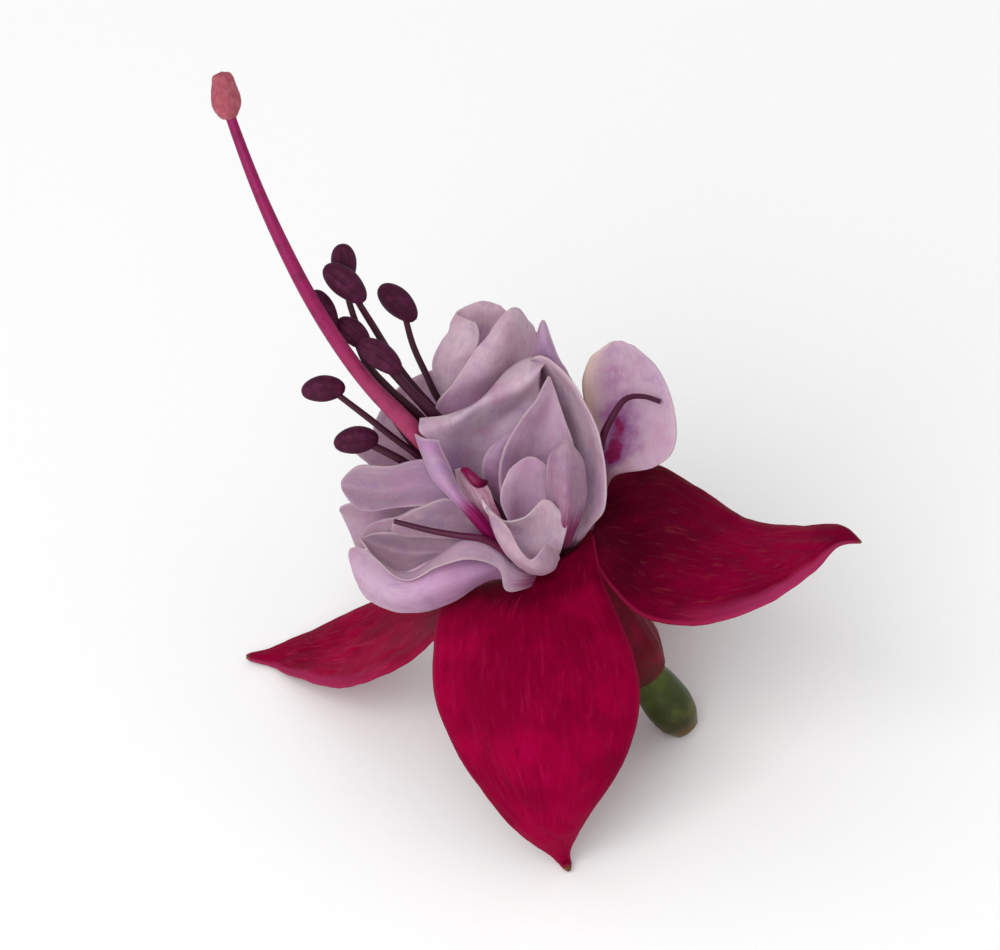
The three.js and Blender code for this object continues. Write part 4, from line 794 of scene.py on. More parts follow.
# %% Petals of the front bowl
grown = grow_petals(0, {
    "petal_front_lobe": (
        dict(
            ribs=[
                [(4.5, -9.0, 2.6), (5.0, -9.0, 3.0), (5.5, -8.8, 2.6)],
                [(2.8, -9.7, 10.4), (4.3, -9.8, 10.6), (5.6, -9.0, 8.6)],
                [
                    (0.0, -6.7, 13.0), (1.4, -8.5, 13.4), (3.7, -9.6, 12.6), (5.1, -9.4, 11.4),
                    (5.7, -8.5, 10.0),
                ],
                [
                    (-1.2, -3.7, 13.0), (0.1, -6.1, 14.8), (2.0, -8.2, 15.2), (3.7, -9.2, 14.6),
                    (4.9, -8.8, 13.4), (5.8, -8.1, 11.2),
                ],
                [
                    (-1.4, -3.2, 13.2), (0.6, -4.9, 14.6), (1.9, -7.0, 15.6), (3.0, -8.3, 15.8),
                    (4.4, -6.9, 15.0), (5.7, -7.6, 12.6),
                ],
            ],
            wave=0.2,
        ),
        dict(pale=PINK_LILAC, deep=MAUVE, stain_reach=0.3),
    ),
    "petal_front_bowl": (
        dict(
            ribs=[
                [(4.6, -8.3, 2.4), (5.1, -8.3, 2.8), (5.6, -8.1, 2.4)],
                [(1.8, -7.8, 10.5), (3.8, -8.1, 10.8), (6.0, -7.5, 9.4)],
                [(0.0, -5.5, 12.2), (3.0, -5.9, 11.2), (6.6, -5.5, 10.4)],
                [
                    (-1.6, -3.1, 12.6), (0.7, -4.9, 13.2), (3.0, -4.2, 12.6), (4.8, -3.3, 12.4),
                    (6.7, -4.5, 11.0),
                ],
                [
                    (-1.8, -2.2, 12.4), (0.2, -4.5, 14.0), (2.4, -4.0, 13.6), (4.4, -2.4, 13.0),
                    (6.4, -3.9, 11.4),
                ],
            ],
            wave=0.2,
        ),
        dict(pale=WHITE_LILAC, deep=PALE_LILAC, stain_reach=0.25),
    ),
    "petal_inner_lobe": (
        dict(
            ribs=[
                [(5.0, -8.4, 2.6), (5.5, -8.3, 3.0), (6.0, -8.2, 2.8)],
                [(1.4, -5.5, 9.0), (3.2, -5.7, 7.4), (5.0, -5.5, 7.4)],
                [(0.2, -3.0, 10.4), (2.7, -3.2, 8.2), (5.6, -3.0, 8.4)],
                [(0.2, -1.3, 10.6), (2.7, -1.1, 9.0), (5.6, -1.1, 8.8)],
                [(0.7, 0.2, 10.4), (3.0, 0.6, 9.6), (5.4, 0.1, 9.2)],
                [(1.2, 1.3, 10.6), (3.2, 1.8, 10.0), (4.9, 1.1, 9.6)],
            ],
            tip_start=0.8,
            wave=0.25,
        ),
        dict(pale=PALE_LILAC, deep=PALE_MAUVE, stain_reach=0.25),
    ),
    "petal_inner_right": (
        dict(
            ribs=[
                [(6.3, -7.6, 2.4), (6.7, -7.4, 2.8), (7.1, -7.2, 2.4)],
                [(5.2, -5.5, 8.0), (6.3, -5.7, 9.8), (7.3, -6.0, 7.8)],
                [(4.7, -2.5, 9.6), (6.4, -2.7, 12.2), (8.4, -3.0, 9.0)],
                [(4.6, 0.3, 10.2), (6.4, 0.3, 12.4), (8.5, -0.5, 9.0)],
                [(4.9, 1.9, 10.2), (6.4, 2.3, 11.6), (8.2, 1.4, 9.2)],
                [(5.6, 3.0, 10.0), (6.6, 3.5, 10.6), (7.6, 2.7, 9.4)],
            ],
            tip_start=0.75,
            wave=0.1,
        ),
        dict(pale=PINK_LILAC, deep=MAUVE, stain_reach=0.4, vein=0.35),
    ),
})

# %% [markdown]
# The heart is the tightest part: a tall pointed tongue with a narrow one at its side, a furled petal seen
# edge on, a striped sliver, and the broad swirl that sweeps round behind them.

# %% Petals at the heart
grown = grow_petals(grown, {
    "petal_tongue": (
        dict(
            ribs=[
                [(4.6, -8.0, 1.8), (5.2, -7.9, 2.2), (5.8, -7.8, 2.0)],
                [(0.8, -4.0, 7.2), (3.0, -4.3, 5.4), (5.2, -4.0, 5.6)],
                [(-0.1, -0.5, 8.4), (3.2, -0.5, 5.6), (7.2, -0.3, 6.0)],
                [(0.5, 2.8, 9.0), (4.0, 2.8, 6.2), (7.4, 2.8, 6.4)],
                [(2.0, 5.4, 9.0), (4.6, 5.5, 6.8), (6.5, 5.5, 6.8)],
                [(3.7, 7.6, 8.8), (4.8, 7.7, 7.6), (5.8, 7.5, 7.2)],
                [(4.5, 9.6, 8.6), (4.9, 9.8, 8.4), (5.3, 9.4, 8.0)],
            ],
            tip_start=0.85,
            wave=0.1,
        ),
        dict(pale=PALE_LILAC, deep=MAUVE, stain_reach=0.25),
    ),
    "petal_tongue_side": (
        dict(
            ribs=[
                [(4.0, -8.2, 2.4), (4.4, -8.0, 2.8), (4.8, -7.8, 2.6)],
                [(0.0, -3.0, 5.5), (1.4, -3.0, 6.0), (2.8, -2.5, 5.4)],
                [(-1.7, -0.5, 6.4), (0.0, -0.2, 6.6), (1.8, 0.4, 5.8)],
                [(-1.7, 1.4, 6.8), (-0.1, 1.8, 7.2), (1.8, 2.6, 6.4)],
                [(-0.9, 2.9, 7.0), (0.4, 3.3, 7.4), (1.9, 3.8, 6.8)],
                [(0.1, 3.7, 7.0), (0.8, 4.0, 7.2), (1.7, 4.2, 7.0)],
            ],
            tip_start=0.75,
            wave=0.1,
        ),
        dict(pale=LILAC, deep=MAUVE, stain_reach=0.25),
    ),
    "petal_furled": (
        dict(
            ribs=[
                [(4.0, -10.2, 2.2), (4.4, -10.1, 2.6), (4.8, -10.0, 2.4)],
                [(0.3, -8.1, 7.2), (0.6, -7.9, 7.6), (0.9, -7.6, 7.2)],
                [(-3.2, -4.1, 9.6), (-2.7, -3.8, 10.2), (-2.2, -3.4, 9.8)],
                [(-4.9, -2.3, 10.2), (-4.4, -2.1, 10.8), (-3.8, -1.8, 10.2)],
                [(-6.6, -0.4, 9.6), (-5.6, -0.4, 11.2), (-4.7, -0.1, 10.0)],
                [(-8.0, 2.3, 8.8), (-7.0, 2.7, 10.6), (-5.9, 3.0, 10.0)],
                [(-8.5, 4.1, 8.6), (-7.3, 3.6, 10.2), (-6.1, 3.5, 10.0)],
            ],
            wave=0.15,
        ),
        dict(pale=LILAC, deep=CUP_SHADE_VIOLET, stain_reach=0.5, stain=1.0),
    ),
    "petal_striped": (
        dict(
            ribs=[
                [(4.4, -9.6, 2.6), (4.7, -9.5, 2.9), (5.0, -9.4, 2.8)],
                [(0.1, -7.4, 7.0), (0.7, -7.1, 7.6), (1.5, -6.8, 7.6)],
                [(-2.3, -4.3, 8.2), (-1.5, -3.7, 8.8), (-0.4, -3.1, 8.7)],
                [(-3.6, -2.0, 8.2), (-2.6, -1.6, 8.9), (-1.2, -1.2, 8.7)],
                [(-4.3, -0.5, 8.0), (-3.4, -0.4, 8.5), (-2.2, -0.3, 8.5)],
                [(-4.5, 0.6, 7.6), (-3.9, 0.7, 7.9), (-3.2, 0.5, 8.1)],
            ],
            wave=0.1,
        ),
        dict(pale=PINK_LILAC, deep=PINK_LILAC, stain_reach=0.5, vein=0.8, vein_colour=MAGENTA_VEIN),
    ),
    "petal_swirl": (
        dict(
            ribs=[
                [(3.6, -8.4, 1.2), (4.2, -8.1, 1.6), (4.8, -7.8, 1.4)],
                [(-3.0, -2.3, 6.5), (-0.8, -2.5, 4.5), (1.5, -1.5, 5.0)],
                [(-5.3, 1.0, 7.5), (-2.0, 0.9, 3.5), (1.2, 3.5, 4.5), (4.0, 4.5, 4.5)],
                [(-6.3, 2.9, 8.6), (-3.0, 3.7, 4.6), (1.0, 6.1, 4.5), (4.0, 7.7, 5.5)],
                [
                    (-8.0, 4.3, 9.0), (-4.8, 5.3, 8.0), (-1.0, 7.7, 7.5), (2.0, 9.0, 7.4),
                    (4.1, 10.6, 7.6),
                ],
                [
                    (-8.0, 5.6, 8.2), (-5.3, 5.9, 7.3), (-1.4, 7.8, 6.2), (0.7, 10.6, 4.6),
                    (3.0, 11.7, 5.6), (4.9, 11.3, 7.0),
                ],
            ],
            wave=0.12,
        ),
        dict(pale=WHITE_LILAC, deep=VIOLET, stain_reach=0.3),
    ),
})

# %% [markdown]
# A hood stands over the tongue and shades it, and its inner flank gets a painted plum shade. Another petal
# wraps it from outside.

# %% Petals of the right side
grown = grow_petals(grown, {
    "petal_hood": (
        dict(
            ribs=[
                [(6.8, -7.5, 2.2), (7.2, -7.3, 2.4), (7.6, -7.1, 2.2)],
                [(6.0, -4.5, 4.2), (8.0, -5.3, 4.8), (9.2, -5.0, 6.4)],
                [(6.6, -0.5, 3.6), (8.8, -1.5, 5.4), (10.4, -3.3, 8.4)],
                [(6.4, 2.5, 2.8), (8.8, 2.3, 5.2), (10.4, 0.9, 8.8)],
                [(5.6, 6.0, 2.4), (8.0, 6.3, 5.6), (9.4, 5.0, 9.2)],
                [(4.6, 9.1, 3.4), (6.6, 9.3, 6.4), (7.8, 8.1, 9.4)],
                [(3.8, 10.7, 5.0), (5.1, 10.9, 7.4), (6.1, 10.5, 9.0)],
                [(3.0, 11.5, 6.6), (3.9, 11.8, 7.6), (4.8, 11.5, 8.4)],
            ],
            wave=0.1,
        ),
        # The hood's flank colour SHADE_PLUM is painted shade on its inner flank, in the gap by the tongue.
        dict(pale=WHITE_LILAC, deep=PALE_LILAC, stain_reach=0.14, back=PINK_LILAC,
             side=SHADE_PLUM, side_share=0.7, side_reach=0.4),
    ),
    "petal_outer_right": (
        dict(
            ribs=[
                [(6.8, -7.7, 0.8), (7.2, -7.5, 0.6), (7.6, -7.3, 0.2)],
                [(4.5, 0.5, 1.0), (7.5, 1.0, 1.6), (10.0, 1.5, 4.4)],
                [(3.0, 6.5, 1.2), (6.5, 7.5, 3.6), (9.2, 5.5, 5.6)],
                [(2.4, 10.5, 2.6), (5.2, 10.5, 5.0), (7.4, 9.1, 5.6)],
                [(3.3, 12.5, 3.6), (4.6, 12.5, 5.4), (5.8, 11.8, 5.2)],
                [(3.8, 14.2, 3.8), (4.3, 14.3, 4.8), (4.9, 14.1, 4.6)],
                [(4.0, 15.2, 3.8), (4.3, 15.4, 4.2), (4.6, 15.2, 4.0)],
            ],
            tip_start=0.85,
            wave=0.1,
        ),
        dict(pale=LILAC, deep=MAUVE, stain_reach=0.3),
    ),
})

# %% [markdown]
# At the left the petals lie open in a cup. Its lip rolls outwards and runs to a small flared end, and two
# more petals line it.

# %% Petals of the left cup
grown = grow_petals(grown, {
    "petal_cup_lip": (
        dict(
            ribs=[
                [
                    (4.2, -9.1, 1.6), (4.4, -9.3, 2.0), (4.6, -9.5, 2.4), (4.8, -9.7, 2.8),
                    (5.0, -9.9, 2.8),
                ],
                [
                    (1.5, -8.1, 4.0), (2.0, -8.8, 3.6), (2.3, -9.2, 5.0), (2.5, -9.7, 6.6),
                    (2.6, -11.3, 6.4),
                ],
                [
                    (0.0, -7.3, 4.8), (0.4, -8.3, 4.6), (0.7, -8.5, 6.2), (1.1, -9.0, 8.0),
                    (0.6, -11.5, 7.6),
                ],
                [
                    (-1.5, -6.7, 5.2), (-1.2, -7.7, 5.2), (-0.8, -7.5, 7.0), (-0.3, -7.6, 9.0),
                    (-0.1, -9.4, 8.6),
                ],
                [
                    (-4.5, -6.2, 5.4), (-4.2, -7.7, 5.2), (-3.6, -7.4, 7.2), (-3.0, -6.4, 9.4),
                    (-3.0, -8.4, 10.0),
                ],
                [
                    (-7.0, -6.1, 5.0), (-6.8, -7.7, 3.5), (-6.2, -8.3, 6.0), (-5.8, -8.0, 9.0),
                    (-6.0, -9.1, 10.0),
                ],
                [
                    (-10.0, -5.8, 4.0), (-9.8, -7.7, 1.8), (-9.4, -9.1, 4.5), (-9.0, -9.9, 7.5),
                    (-8.9, -10.4, 8.6),
                ],
                [
                    (-12.5, -5.7, 3.5), (-12.6, -6.8, 2.0), (-12.2, -8.0, 3.0), (-12.0, -8.7, 5.0),
                    (-11.9, -9.1, 6.0),
                ],
                [
                    (-14.2, -5.9, 3.0), (-14.1, -6.2, 2.6), (-13.9, -6.4, 2.8), (-13.7, -6.6, 3.2),
                    (-13.5, -6.8, 3.6),
                ],
            ],
            tip_start=0.8,
            wave=0.15, rows=60, columns=44,
        ),
        dict(pale=WHITE_LILAC, deep=LILAC, stain_reach=0.25),
    ),
    "petal_cup": (
        dict(
            ribs=[
                [(4.6, -9.9, 2.2), (4.7, -10.5, 2.2), (4.8, -11.1, 1.9)],
                [(0.4, -7.9, 5.6), (0.0, -9.2, 6.4), (-0.8, -10.4, 4.5)],
                [(-5.5, -8.0, 8.2), (-5.2, -10.7, 8.8), (-5.3, -12.9, 5.0)],
                [(-10.0, -9.6, 6.6), (-10.2, -11.9, 7.6), (-9.8, -13.7, 4.0)],
                [(-12.8, -7.9, 4.5), (-13.8, -9.7, 5.2), (-13.0, -12.5, 2.5)],
                [(-14.3, -6.3, 1.8), (-15.1, -7.7, 2.0), (-14.8, -10.0, 0.5)],
            ],
            tip_start=0.8,
            wave=0.15,
        ),
        dict(pale=PALE_LILAC, deep=CUP_SHADE_VIOLET, stain_reach=0.2, back=PALE_LILAC),
    ),
    "petal_left_inner": (
        dict(
            ribs=[
                [(4.0, -9.5, 2.1), (3.8, -9.9, 2.1), (3.5, -10.3, 2.0)],
                [(-0.6, -5.3, 6.4), (-1.1, -6.4, 6.1), (-1.6, -7.3, 6.1)],
                [(-5.0, -2.3, 8.5), (-4.5, -4.5, 7.0), (-4.2, -6.5, 6.5)],
                [(-7.6, -3.0, 8.0), (-7.0, -4.7, 6.8), (-6.7, -6.3, 6.0)],
                [(-10.2, -4.4, 7.0), (-9.5, -5.2, 6.2), (-9.2, -6.2, 5.4)],
                [(-11.2, -5.1, 6.4), (-10.7, -5.6, 5.9), (-10.2, -6.2, 5.2)],
            ],
            tip_start=0.8,
            wave=0.1,
        ),
        dict(pale=PINK_LILAC, deep=MAUVE, stain_reach=0.25),
    ),
    "petal_left_pale": (
        dict(
            ribs=[
                [(3.0, -9.4, 1.6), (3.2, -9.9, 1.3), (3.4, -10.4, 1.0)],
                [(-2.0, -4.5, 5.0), (-1.8, -6.0, 4.0), (-1.8, -7.0, 3.5)],
                [(-6.8, -2.8, 6.0), (-6.5, -4.9, 4.4), (-6.2, -6.5, 3.0)],
                [(-10.2, -4.1, 5.2), (-10.2, -5.5, 3.6), (-10.0, -6.8, 2.2)],
                [(-12.8, -4.7, 4.0), (-12.8, -5.8, 2.6), (-12.4, -7.0, 1.4)],
                [(-14.0, -5.8, 2.6), (-13.8, -6.3, 1.8), (-13.4, -7.0, 1.0)],
            ],
            tip_start=0.75,
            wave=0.15,
        ),
        dict(pale=PALE_LILAC, deep=LILAC, stain_reach=0.2),
    ),
})

# %% [markdown]
# Above the cup two broad petals fan out to the left, one over the other.

# %% Petals of the left fan
grown = grow_petals(grown, {
    "petal_left_upper": (
        dict(
            ribs=[
                [(3.0, -9.0, 1.3), (3.3, -9.6, 1.0), (3.6, -10.2, 0.8)],
                [(-4.2, -0.3, 7.2), (-4.0, -1.7, 6.0), (-3.6, -3.1, 6.5)],
                [(-7.3, 1.6, 6.8), (-7.5, -1.0, 5.0), (-7.0, -3.1, 6.6)],
                [(-10.8, 0.8, 5.0), (-11.2, -1.5, 2.8), (-10.5, -3.4, 5.2)],
                [(-14.0, 1.0, 3.5), (-14.4, -1.3, 1.5), (-13.5, -3.5, 4.2)],
                [(-15.5, 0.5, 2.8), (-15.9, -1.0, 1.4), (-15.0, -3.1, 3.4)],
            ],
            tip_start=0.8,
            wave=0.2,
        ),
        dict(pale=LILAC, deep=VIOLET, stain_reach=0.25),
    ),
    "petal_left_lower": (
        dict(
            ribs=[
                [(2.6, -9.6, 0.7), (2.8, -10.2, 0.5), (3.0, -10.8, 0.2)],
                [(-2.5, -4.0, 2.5), (-2.2, -5.5, 2.0), (-2.0, -7.0, 1.8)],
                [(-7.0, -2.5, 3.5), (-7.0, -4.3, 1.8), (-7.0, -6.5, 1.2)],
                [(-11.0, -2.9, 2.6), (-11.2, -4.5, 0.8), (-11.2, -7.0, 0.4)],
                [(-14.2, -3.0, 1.8), (-14.4, -4.5, 0.0), (-14.2, -7.3, -0.4)],
                [(-16.6, -3.1, 1.5), (-15.9, -4.0, -0.3), (-14.9, -6.3, -0.8)],
            ],
            tip_start=0.85,
            wave=0.2,
        ),
        dict(pale=PINK_LILAC, deep=LILAC, stain_reach=0.2),
    ),
})

# %% [markdown]
# Two petals crown the skirt, one of them rolled along its edge. A lone one stands off at the right, creamy
# on its left flank and bruised near its stalk.

# %% Upper petals and the side petal
grown = grow_petals(grown, {
    "petal_upper": (
        dict(
            ribs=[
                [(5.1, -7.9, 0.0), (5.8, -7.5, -0.2), (6.5, -7.1, -0.4)],
                [(-1.0, -1.0, 2.0), (2.0, 0.5, 1.0), (4.7, 2.0, 0.4)],
                [(-6.4, 6.6, 5.4), (-2.0, 7.5, 3.6), (2.5, 8.5, 0.2)],
                [(-4.8, 9.0, 6.4), (-1.2, 10.5, 5.4), (3.2, 11.3, -0.4)],
                [(-2.6, 12.3, 6.4), (0.0, 13.3, 5.6), (3.5, 13.0, -1.0)],
                [(-1.0, 14.2, 5.6), (0.8, 15.0, 4.8), (3.4, 14.5, -1.4)],
                [(-0.1, 16.2, 4.2), (1.4, 16.7, 3.2), (2.8, 15.9, 0.0)],
            ],
            tip_start=0.85,
            wave=0.2,
        ),
        dict(pale=WHITE_LILAC, deep=PALE_MAUVE, stain_reach=0.2),
    ),
    "petal_upper_rolled": (
        dict(
            ribs=[
                [(4.6, -7.6, -1.0), (5.0, -7.3, -1.2), (5.4, -7.0, -1.4)],
                [(-3.0, 3.5, 1.0), (-4.0, 4.5, 0.0), (-2.0, 4.5, -2.5), (2.0, 5.5, -4.0)],
                [
                    (-3.2, 11.3, 4.2), (-5.2, 10.9, 3.4), (-6.6, 10.7, 0.5), (-3.0, 11.0, -2.4),
                    (0.5, 11.5, -3.0),
                ],
                [
                    (-2.6, 12.0, 4.6), (-4.2, 12.3, 4.4), (-5.9, 13.0, 1.6), (-2.2, 13.0, -1.6),
                    (1.2, 13.5, -2.4),
                ],
                [
                    (-2.1, 13.4, 4.8), (-3.3, 14.0, 4.8), (-5.0, 14.3, 2.0), (-1.6, 15.0, -1.0),
                    (1.2, 15.3, -2.0),
                ],
                [
                    (-2.1, 14.4, 4.4), (-3.3, 14.9, 4.2), (-4.8, 15.2, 1.8), (-1.5, 16.4, -0.4),
                    (0.8, 16.2, -1.4),
                ],
                [
                    (-2.4, 15.2, 4.0), (-3.4, 15.6, 3.4), (-4.3, 16.2, 1.6), (-1.8, 17.4, 0.0),
                    (0.1, 16.9, -0.8),
                ],
            ],
            wave=0.15,
        ),
        dict(pale=WHITE_LILAC, deep=PALE_LILAC, back=WHITE_LILAC, stain_reach=0.2),
    ),
    "petal_side": (
        dict(
            ribs=[
                [(7.7, -8.1, 0.4), (7.9, -8.0, 0.4), (8.1, -7.9, 0.4)],
                [(9.4, -2.8, 1.2), (9.8, -3.0, 1.6), (10.2, -3.2, 1.6)],
                [(10.0, 0.4, 1.6), (10.6, 0.1, 2.2), (11.3, -0.2, 2.6)],
                [(9.5, 3.4, 1.2), (11.8, 1.7, 2.4), (15.4, 0.8, 4.2)],
                [(8.6, 6.6, 1.0), (12.4, 4.9, 1.6), (17.2, 2.4, 5.2)],
                [(8.2, 9.5, 2.2), (12.6, 8.6, 1.6), (17.6, 5.4, 5.0)],
                [(9.0, 11.7, 2.4), (12.6, 11.9, 1.6), (16.0, 10.3, 3.6)],
                [(9.7, 12.5, 2.3), (10.9, 13.2, 2.0), (12.4, 13.4, 1.8), (14.0, 12.7, 2.4)],
            ],
            tip_start=0.9,
            wave=0.15,
        ),
        dict(pale=PALE_LILAC, deep=PINK_LILAC, stain_reach=0.4, stain=0.7, bruise=1.0,
             side=CREAM, side_share=0.8, side_reach=0.3),
    ),
})

# %% [markdown]
# The petals behind carry the skirt on round the back. They are plainer, and from behind gaps show between
# their narrow lower ends, where a real corolla is closed.

# %% Petals behind
grown = grow_petals(grown, {
    "petal_back_lower": (
        dict(
            ribs=[
                [(2.8, -9.4, -0.4), (3.1, -9.0, -0.7), (3.4, -8.6, -1.0)],
                [(-4.0, -3.5, 1.0), (-3.8, -1.5, -0.4), (-3.5, 0.5, -1.0)],
                [(-9.0, -0.5, 0.6), (-9.0, 1.3, -0.8), (-8.5, 3.0, -1.2)],
                [(-12.0, 0.3, 0.4), (-12.2, 2.0, -0.8), (-11.5, 4.3, -1.2)],
                [(-13.8, 1.6, 0.0), (-14.8, 2.8, -0.6), (-13.8, 4.5, -0.8)],
            ],
            tip_start=0.8,
            wave=0.2,
        ),
        dict(pale=PINK_LILAC, deep=PALE_MAUVE, stain_reach=0.2),
    ),
    "petal_back_upper": (
        dict(
            ribs=[
                [(3.4, -8.0, -1.6), (3.8, -7.6, -1.9), (4.2, -7.2, -2.1)],
                [(-5.0, -1.5, -1.5), (-3.5, 1.0, -3.4), (-1.0, 3.5, -4.6)],
                [(-10.5, 2.3, -2.0), (-7.5, 5.0, -4.0), (-3.0, 8.0, -4.6)],
                [(-12.5, 4.3, -2.0), (-9.5, 7.3, -4.0), (-4.0, 10.7, -4.2)],
                [(-12.6, 5.6, -1.8), (-10.8, 8.3, -3.0), (-6.7, 11.1, -3.4)],
            ],
            tip_start=0.8,
            wave=0.25,
        ),
        dict(pale=WHITE_LILAC, deep=PALE_MAUVE, stain_reach=0.2),
    ),
    "petal_back_left": (
        dict(
            ribs=[
                [(3.8, -6.9, -2.6), (4.2, -6.6, -2.8), (4.6, -6.4, -2.9)],
                [(0.0, 0.5, -6.0), (2.0, 1.5, -8.0), (4.5, 2.0, -8.5)],
                [(-6.0, 5.5, -6.0), (-2.0, 7.5, -9.0), (2.5, 8.0, -9.5)],
                [(-7.0, 9.0, -6.0), (-2.5, 11.0, -8.5), (2.0, 11.5, -9.0)],
                [(-5.0, 12.0, -5.5), (-2.0, 13.0, -6.8), (1.0, 13.0, -7.0)],
            ],
            tip_start=0.8,
            wave=0.25,
        ),
        dict(pale=LILAC, deep=MAUVE, stain_reach=0.2),
    ),
    "petal_back_middle": (
        dict(
            ribs=[
                [(4.8, -6.4, -2.6), (5.2, -6.2, -2.6), (5.6, -6.1, -2.4)],
                [(3.0, 0.5, -7.5), (5.5, 1.3, -9.5), (8.0, 1.5, -8.0)],
                [(0.0, 7.5, -7.5), (4.0, 8.0, -10.0), (8.0, 7.0, -8.0)],
                [(0.0, 12.0, -6.0), (3.5, 12.5, -8.5), (6.8, 10.3, -7.0)],
                [(1.5, 14.5, -4.0), (3.3, 14.7, -5.5), (4.8, 13.0, -5.0)],
            ],
            tip_start=0.8,
            wave=0.25,
        ),
        dict(pale=LILAC, deep=MAUVE, stain_reach=0.2),
    ),
    "petal_back_right": (
        dict(
            ribs=[
                [(6.4, -6.3, -1.6), (6.8, -6.2, -1.3), (7.2, -6.2, -1.0)],
                [(6.5, -1.5, -6.0), (8.2, -1.0, -5.5), (9.8, -1.5, -3.0)],
                [(5.5, 4.5, -6.0), (7.8, 4.5, -5.5), (10.0, 3.0, -2.0)],
                [(5.0, 8.0, -4.0), (7.0, 8.0, -3.8), (8.8, 6.5, -1.0)],
                [(5.6, 10.0, -1.5), (6.6, 9.9, -1.2), (7.6, 8.9, 0.0)],
            ],
            tip_start=0.8,
            wave=0.25,
        ),
        dict(pale=LILAC, deep=MAUVE, stain_reach=0.2),
    ),
})

# %% [markdown]
# ## Stalks that follow a path
#
# The style, the filaments and the two strap-like stamens are long tapering stalks. A Geometry Nodes tree
# sweeps a ring of named size along a curve, and remembers how far along each ring is for the finish.

# %% Sweep tree
def socket_id(tree, name):
    return next(item.identifier for item in tree.interface.items_tree
                if item.name == name and item.in_out == "INPUT")


sweep = bpy.data.node_groups.new("swept_stalk", "GeometryNodeTree")
sweep.interface.new_socket("Path", in_out="INPUT", socket_type="NodeSocketGeometry")
sweep.interface.new_socket("Sides", in_out="INPUT", socket_type="NodeSocketInt")
sweep.interface.new_socket("Finish", in_out="INPUT", socket_type="NodeSocketMaterial")
sweep.interface.new_socket("Stalk", in_out="OUTPUT", socket_type="NodeSocketGeometry")
given = add_node(sweep, "NodeGroupInput").outputs
factor = add_node(sweep, "GeometryNodeSplineParameter").outputs["Factor"]
marked = add_node(sweep, "GeometryNodeStoreNamedAttribute", {"Geometry": given["Path"], "Name": "along",
                  "Value": factor}, data_type="FLOAT", domain="POINT")
ring = add_node(sweep, "GeometryNodeCurvePrimitiveCircle", {"Resolution": given["Sides"], "Radius": 1.0})
swept = add_node(sweep, "GeometryNodeCurveToMesh", {"Curve": marked.outputs[0],
                 "Profile Curve": ring.outputs[0], "Fill Caps": True})
if "Scale" in swept.inputs:  # a sweep without this input scales the ring by the radius by itself
    sweep.links.new(add_node(sweep, "GeometryNodeInputRadius").outputs[0], swept.inputs["Scale"])
soft = add_node(sweep, "GeometryNodeSetShadeSmooth", {"Geometry": swept.outputs[0]})
whole = add_node(sweep, "GeometryNodeRealizeInstances", {"Geometry": soft.outputs[0]})
dressed = add_node(sweep, "GeometryNodeSetMaterial", {"Geometry": whole.outputs[0],
                   "Material": given["Finish"]})
add_node(sweep, "NodeGroupOutput", {"Stalk": dressed.outputs[0]})
print("sweep tree:", [item.name for item in sweep.interface.items_tree])

# %% [markdown]
# ## Running a tree
#
# A tree is run through a modifier on a carrier object. Its inputs are set by the sockets' identifiers, and
# the evaluated result is kept as a plain mesh, so nothing live is left on the piece. A stalk's carrier is a
# curve whose points hold the stalk's radius.

# %% Sweep a stalk
STALK_STEPS = 64


def apply_tree(carrier, tree, name, **inputs):
    """Runs a tree on an object, and keeps the result as a plain mesh of that name."""
    modifier = carrier.modifiers.new("tree", "NODES")
    modifier.node_group = tree
    for key, value in inputs.items():
        modifier[socket_id(tree, key.capitalize())] = value
    evaluated = carrier.evaluated_get(bpy.context.evaluated_depsgraph_get())
    mesh = bpy.data.meshes.new_from_object(evaluated)
    mesh.name = name
    bpy.data.objects.remove(carrier)
    return link(name, mesh)


def stalk(name, stations, finish, sides=18):
    """stations are (x, y, z, radius) in bloom millimetres."""
    stations = np.array(stations, float)
    at = np.linspace(0, 1, STALK_STEPS + 1)
    path = to_table(spline(stations[:, :3], at))
    radius = spline(np.repeat(stations[:, 3:], 3, axis=1), at)[:, 0] * MM
    curve = bpy.data.curves.new(name + "_path", "CURVE")
    curve.dimensions = "3D"
    line = curve.splines.new("POLY")
    line.points.add(len(path) - 1)
    for point, place, size in zip(line.points, path, radius):
        point.co = (*place, 1.0)
        point.radius = size
    return apply_tree(link(name + "_path", curve), sweep, name, sides=sides, finish=finish)


print("steps in a stalk:", STALK_STEPS)

# %% [markdown]
# ## Finish of the stalks
#
# The style is magenta at its far end and paler pink near the corolla. The filaments are wine red at their
# roots and darken towards their anthers. Both are satin, with fine dark blotches.

# %% Stalk finish
STALK_BLOTCH = colour(60, 4, 34)


def in_bands(tree, shades):
    """One colour that runs through the shades from the root of an organ to its far end."""
    along = attribute(tree, "along")
    span = 1 / (len(shades) - 1)
    body = shades[0]
    for place, shade in enumerate(shades[1:]):
        body = mix(tree, ease(tree, along, place * span, (place + 1) * span), body, shade)
    return body


def stalk_finish(name, shades):
    finish, tree = new_finish(name)
    blotch = cells(tree, own_place(tree), 800.0, 3.0)
    mottled = mix(tree, ease(tree, blotch, 0.45, 0.75, 0.35), in_bands(tree, shades), STALK_BLOTCH)
    bump = add_node(tree, "ShaderNodeBump", {"Height": cells(tree, own_place(tree), 3200.0, 3.0),
                    "Strength": 0.4, "Distance": 0.0001})
    skin = add_node(tree, "ShaderNodeBsdfPrincipled", {"Base Color": mottled, "Roughness": 0.42,
                    "Specular IOR Level": 0.2, "Normal": bump.outputs[0]})
    show(tree, skin.outputs[0])
    return finish


print("stalk finish ready")

# %% [markdown]
# ## Style
#
# The style is the longest organ. It leaves the throat between the petals, thickens where it comes out, and
# narrows again on its way to the stigma. Each station is a place and a radius in bloom millimetres.

